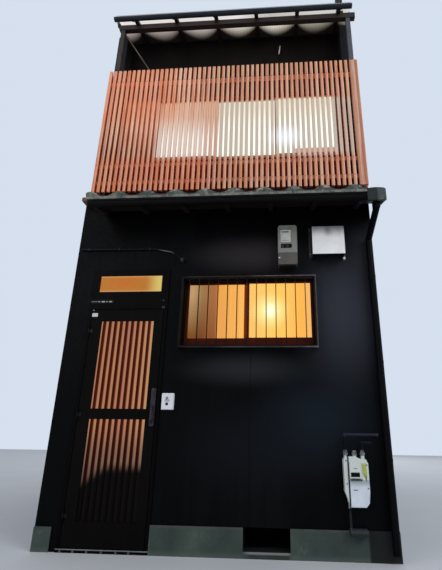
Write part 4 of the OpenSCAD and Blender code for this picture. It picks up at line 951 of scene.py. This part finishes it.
def meter_face():
    """Window, drums and disc of the electric meter, its sunk band with studs, and its seal."""
    x0, z0, w, h = 557.0, 2445.0, 188.0, 423.0
    front = -86.5
    dial = painted("dial_plate", (206, 203, 190), 0.08, 0.3, dirt=0.2)
    plates("meter_dial", dial, (x0 + 0.13 * w, x0 + 0.69 * w, front, front + 2, z0 + 0.572 * h, z0 + 0.888 * h),
           bevel=0.004)
    rows = ((40, 108, 0.82, 0.845), (44, 104, 0.615, 0.625))
    plates("meter_drums", BLACK, *((x0 + left, x0 + right, front - 1.2, front + 0.5, z0 + low * h, z0 + high * h)
                                   for left, right, low, high in rows), bevel=0.0008)
    knobs("meter_disc", PALE, [(0, 0.022), (0.003, 0.022), (0.004, 0.02)], (x0 + 75, front, z0 + 0.74 * h), sides=28)
    plates("meter_band", BLACK, (x0 + 0.145 * w, x0 + 0.715 * w, -93.5, -92, z0 + 0.415 * h, z0 + 0.515 * h))
    knobs("meter_studs", HANDLE, [(0, 0.014), (0.004, 0.014), (0.006, 0.01)],
          *((x0 + dx, -93, z0 + 0.465 * h) for dx in (42, 92)))
    knobs("meter_seal", PALE, [(-0.002, 0.008), (0.005, 0.008), (0.007, 0.004)], (x0 + 14, -100, z0 + 0.17 * h))


def gas_face():
    """Counter window, hood line, tag, pressed marks, screws and foot rim of the gas meter."""
    cover, side = -127.5, -115.2
    plates("gas_counter", BLACK, (1112, 1182, cover - 0.6, cover + 1.5, 611, 641), bevel=0.0005)
    plates("gas_hood_line", BLACK, (1107, 1200, cover + 1, cover + 14, 586, 595), bevel=0.001)
    b = Build()
    outline = [(1203, 709), (1234, 717), (1241, 648), (1234, 573), (1223, 608), (1206, 634)]
    n = len(outline)
    b.v = [at(x, y, z) for y in (side - 2, side) for x, z in outline]
    b.f = [tuple(range(n)), tuple(range(2 * n - 1, n - 1, -1))]
    b.f += [(i, i + n, (i + 1) % n + n, (i + 1) % n) for i in range(n)]
    b.tint = [0.5] * (2 * n)
    b.object("gas_tag", tag_paint())
    plates("gas_marks", ALLOY, (1128, 1160, side - 1, side + 0.7, 512, 520),
           (1132, 1170, side - 1, side + 0.7, 664, 668), (1138, 1166, cover - 1.5, cover + 0.5, 672, 676), bevel=0.0)
    knobs("gas_screws", ALLOY, [(-0.002, 0.006), (0.004, 0.006), (0.005, 0.004)],
          (1082, -103, 730), (1082, -103, 560), (1241, -115, 700), (1243, -115, 530))
    plates("gas_foot_rim", GAS, (1112, 1216, -112, -116.5, 402, 410), bevel=0.001)


def fixtures():
    """Faces, plates and knobs on the front, at places read from the photo."""
    door_surround()
    intercom_face()
    # latch on the meeting stiles of the lit window
    b = Build().box(at(259, 18, 1990), at(272, 24, 2040))
    b.turned(at(266, 20, 2015), [(0, 0.01), (0.01, 0.01), (0.012, 0.006)])
    b.object("sash_latch", HANDLE, bevel=0.001)
    meter_face()
    gas_face()
    # screws of the vent hood and the knob under it
    knobs("hood_screws", ALLOY, [(-0.001, 0.006), (0.002, 0.006), (0.003, 0.004)],
          *((x, -4, z) for x in (873, 1199) for z in (2590, 2850)))
    knobs("hood_knob", PALE, [(0, 0.011), (0.012, 0.013), (0.022, 0.008)], (1180, -106, 2508),
          axis=Vector((0, 0, -1)), smooth=50)
    # lamp and stay under the canopy
    knobs("canopy_lamp", PALE, [(0, 0.004), (0.01, 0.007), (0.03, 0.009), (0.07, 0.009), (0.1, 0.007), (0.12, 0.006),
                                (0.14, 0.006)], (600, 300, 5545), axis=Vector((0.12, 0, 1)), smooth=60)
    b = Build().tube([at(-1340, -20, 5671), at(-1000, -45, 5095), at(-820, -49, 4790)], 0.007)
    b.object("canopy_stay", painted("stay_brown", (84, 76, 68), 0.25, dirt=0.6, spec=0.2), smooth=60)
    # heads of the screws that hold the slats to their rails
    (x0, y0, z0), (x1, _, z1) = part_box("lattice_front")
    b = Build()
    for share in (0.06, 0.19, 0.88):
        z = z0 + share * (z1 - z0) + 0.0225
        for i in range(SLATS):
            x = x0 + i * (x1 - x0 - CORNER_BOARD) / SLATS + SLAT_HALF
            b.turned(Vector((x, y0, z)), [(-0.001, 0.0042), (0.0008, 0.0042), (0.0014, 0.003)], sides=8)
    b.object("slat_screws", HANDLE)


# Light, floor and camera
def stage():
    """Pale floor, an even sky that looks brighter than it lights, and three soft lamps."""
    floor = Shader("studio_floor")
    floor.set(color=floor.clouds(floor.noise(0.8, 3), (0.56, 0.57, 0.58), (0.6, 0.6, 0.6)), rough=0.9)
    ob = Build().box((-14, -14, -0.02), (14, 14, 0.0)).bare("studio_floor", floor.m)
    world = bpy.data.worlds.new("sky")
    bpy.context.scene.world = world
    world.use_nodes = True
    t = world.node_tree
    t.nodes.clear()
    mixer = t.nodes.new("ShaderNodeMixShader")
    for socket, colour, power in ((1, (222, 230, 244), 0.75), (2, (214, 224, 238), 1.0)):
        sky = t.nodes.new("ShaderNodeBackground")
        sky.inputs[0].default_value = (*linear(colour), 1)
        sky.inputs[1].default_value = power
        t.links.new(sky.outputs[0], mixer.inputs[socket])
    ray = t.nodes.new("ShaderNodeLightPath")
    shown = ray.outputs["Is Camera Ray"]
    for kind in ("Is Glossy Ray", "Is Transmission Ray"):
        either = t.nodes.new("ShaderNodeMath")
        either.operation = "MAXIMUM"
        t.links.new(shown, either.inputs[0])
        t.links.new(ray.outputs[kind], either.inputs[1])
        shown = either.outputs[0]
    t.links.new(shown, mixer.inputs[0])
    t.links.new(mixer.outputs[0], t.nodes.new("ShaderNodeOutputWorld").inputs[0])
    for name, place, target, size, power, colour in (
            ("sky_right", (7.5, -9.5, 8.0), (0.3, -2.9, 2.6), 6.0, 420, (0.88, 0.94, 1.0)),
            ("sky_left", (-6.0, -10.0, 6.0), (0.0, -2.9, 3.4), 6.0, 160, (1.0, 0.96, 0.92)),
            ("back_fill", (2.0, 12.0, 7.0), (0.0, 3.0, 3.0), 7.0, 420, (0.95, 0.97, 1.0))):
        lamp = bpy.data.lights.new(name, "AREA")
        lamp.shape, lamp.size, lamp.energy, lamp.color = "DISK", size, power, colour
        ob = placed(name, lamp)
        ob.location = place
        ob.rotation_euler = (Vector(target) - Vector(place)).to_track_quat("-Z", "Y").to_euler()


def camera():
    """The photo's camera, as fitted to the lines of the facade."""
    focal, height, shift_x, shift_y = 410, 570, -29, 5  # in the photo's pixels
    yaw, pitch, roll = (math.radians(v) for v in (-4.159, 19.067, 0.678))
    forward = Vector((math.sin(yaw) * math.cos(pitch), math.cos(yaw) * math.cos(pitch), math.sin(pitch)))
    side = Vector((math.cos(yaw), -math.sin(yaw), 0))
    up = side.cross(forward)
    right = side * math.cos(roll) + up * math.sin(roll)
    top = up * math.cos(roll) - side * math.sin(roll)
    data = bpy.data.cameras.new("photo_camera")
    data.sensor_width, data.lens = 36.0, focal / height * 36
    data.shift_x, data.shift_y = shift_x / height, shift_y / height
    data.clip_start, data.clip_end = 0.05, 200
    m = Matrix((right, top, -forward)).transposed().to_4x4()
    m.translation = at(554.5, -3717.3, 940.2)
    ob = placed("photo_camera", data)
    ob.matrix_world = m
    bpy.context.scene.camera = ob


hisashi()
roof_tiles()
corrugated_sheet()
fixtures()
stage()
camera()
bpy.context.scene.view_settings.view_transform = "Standard"
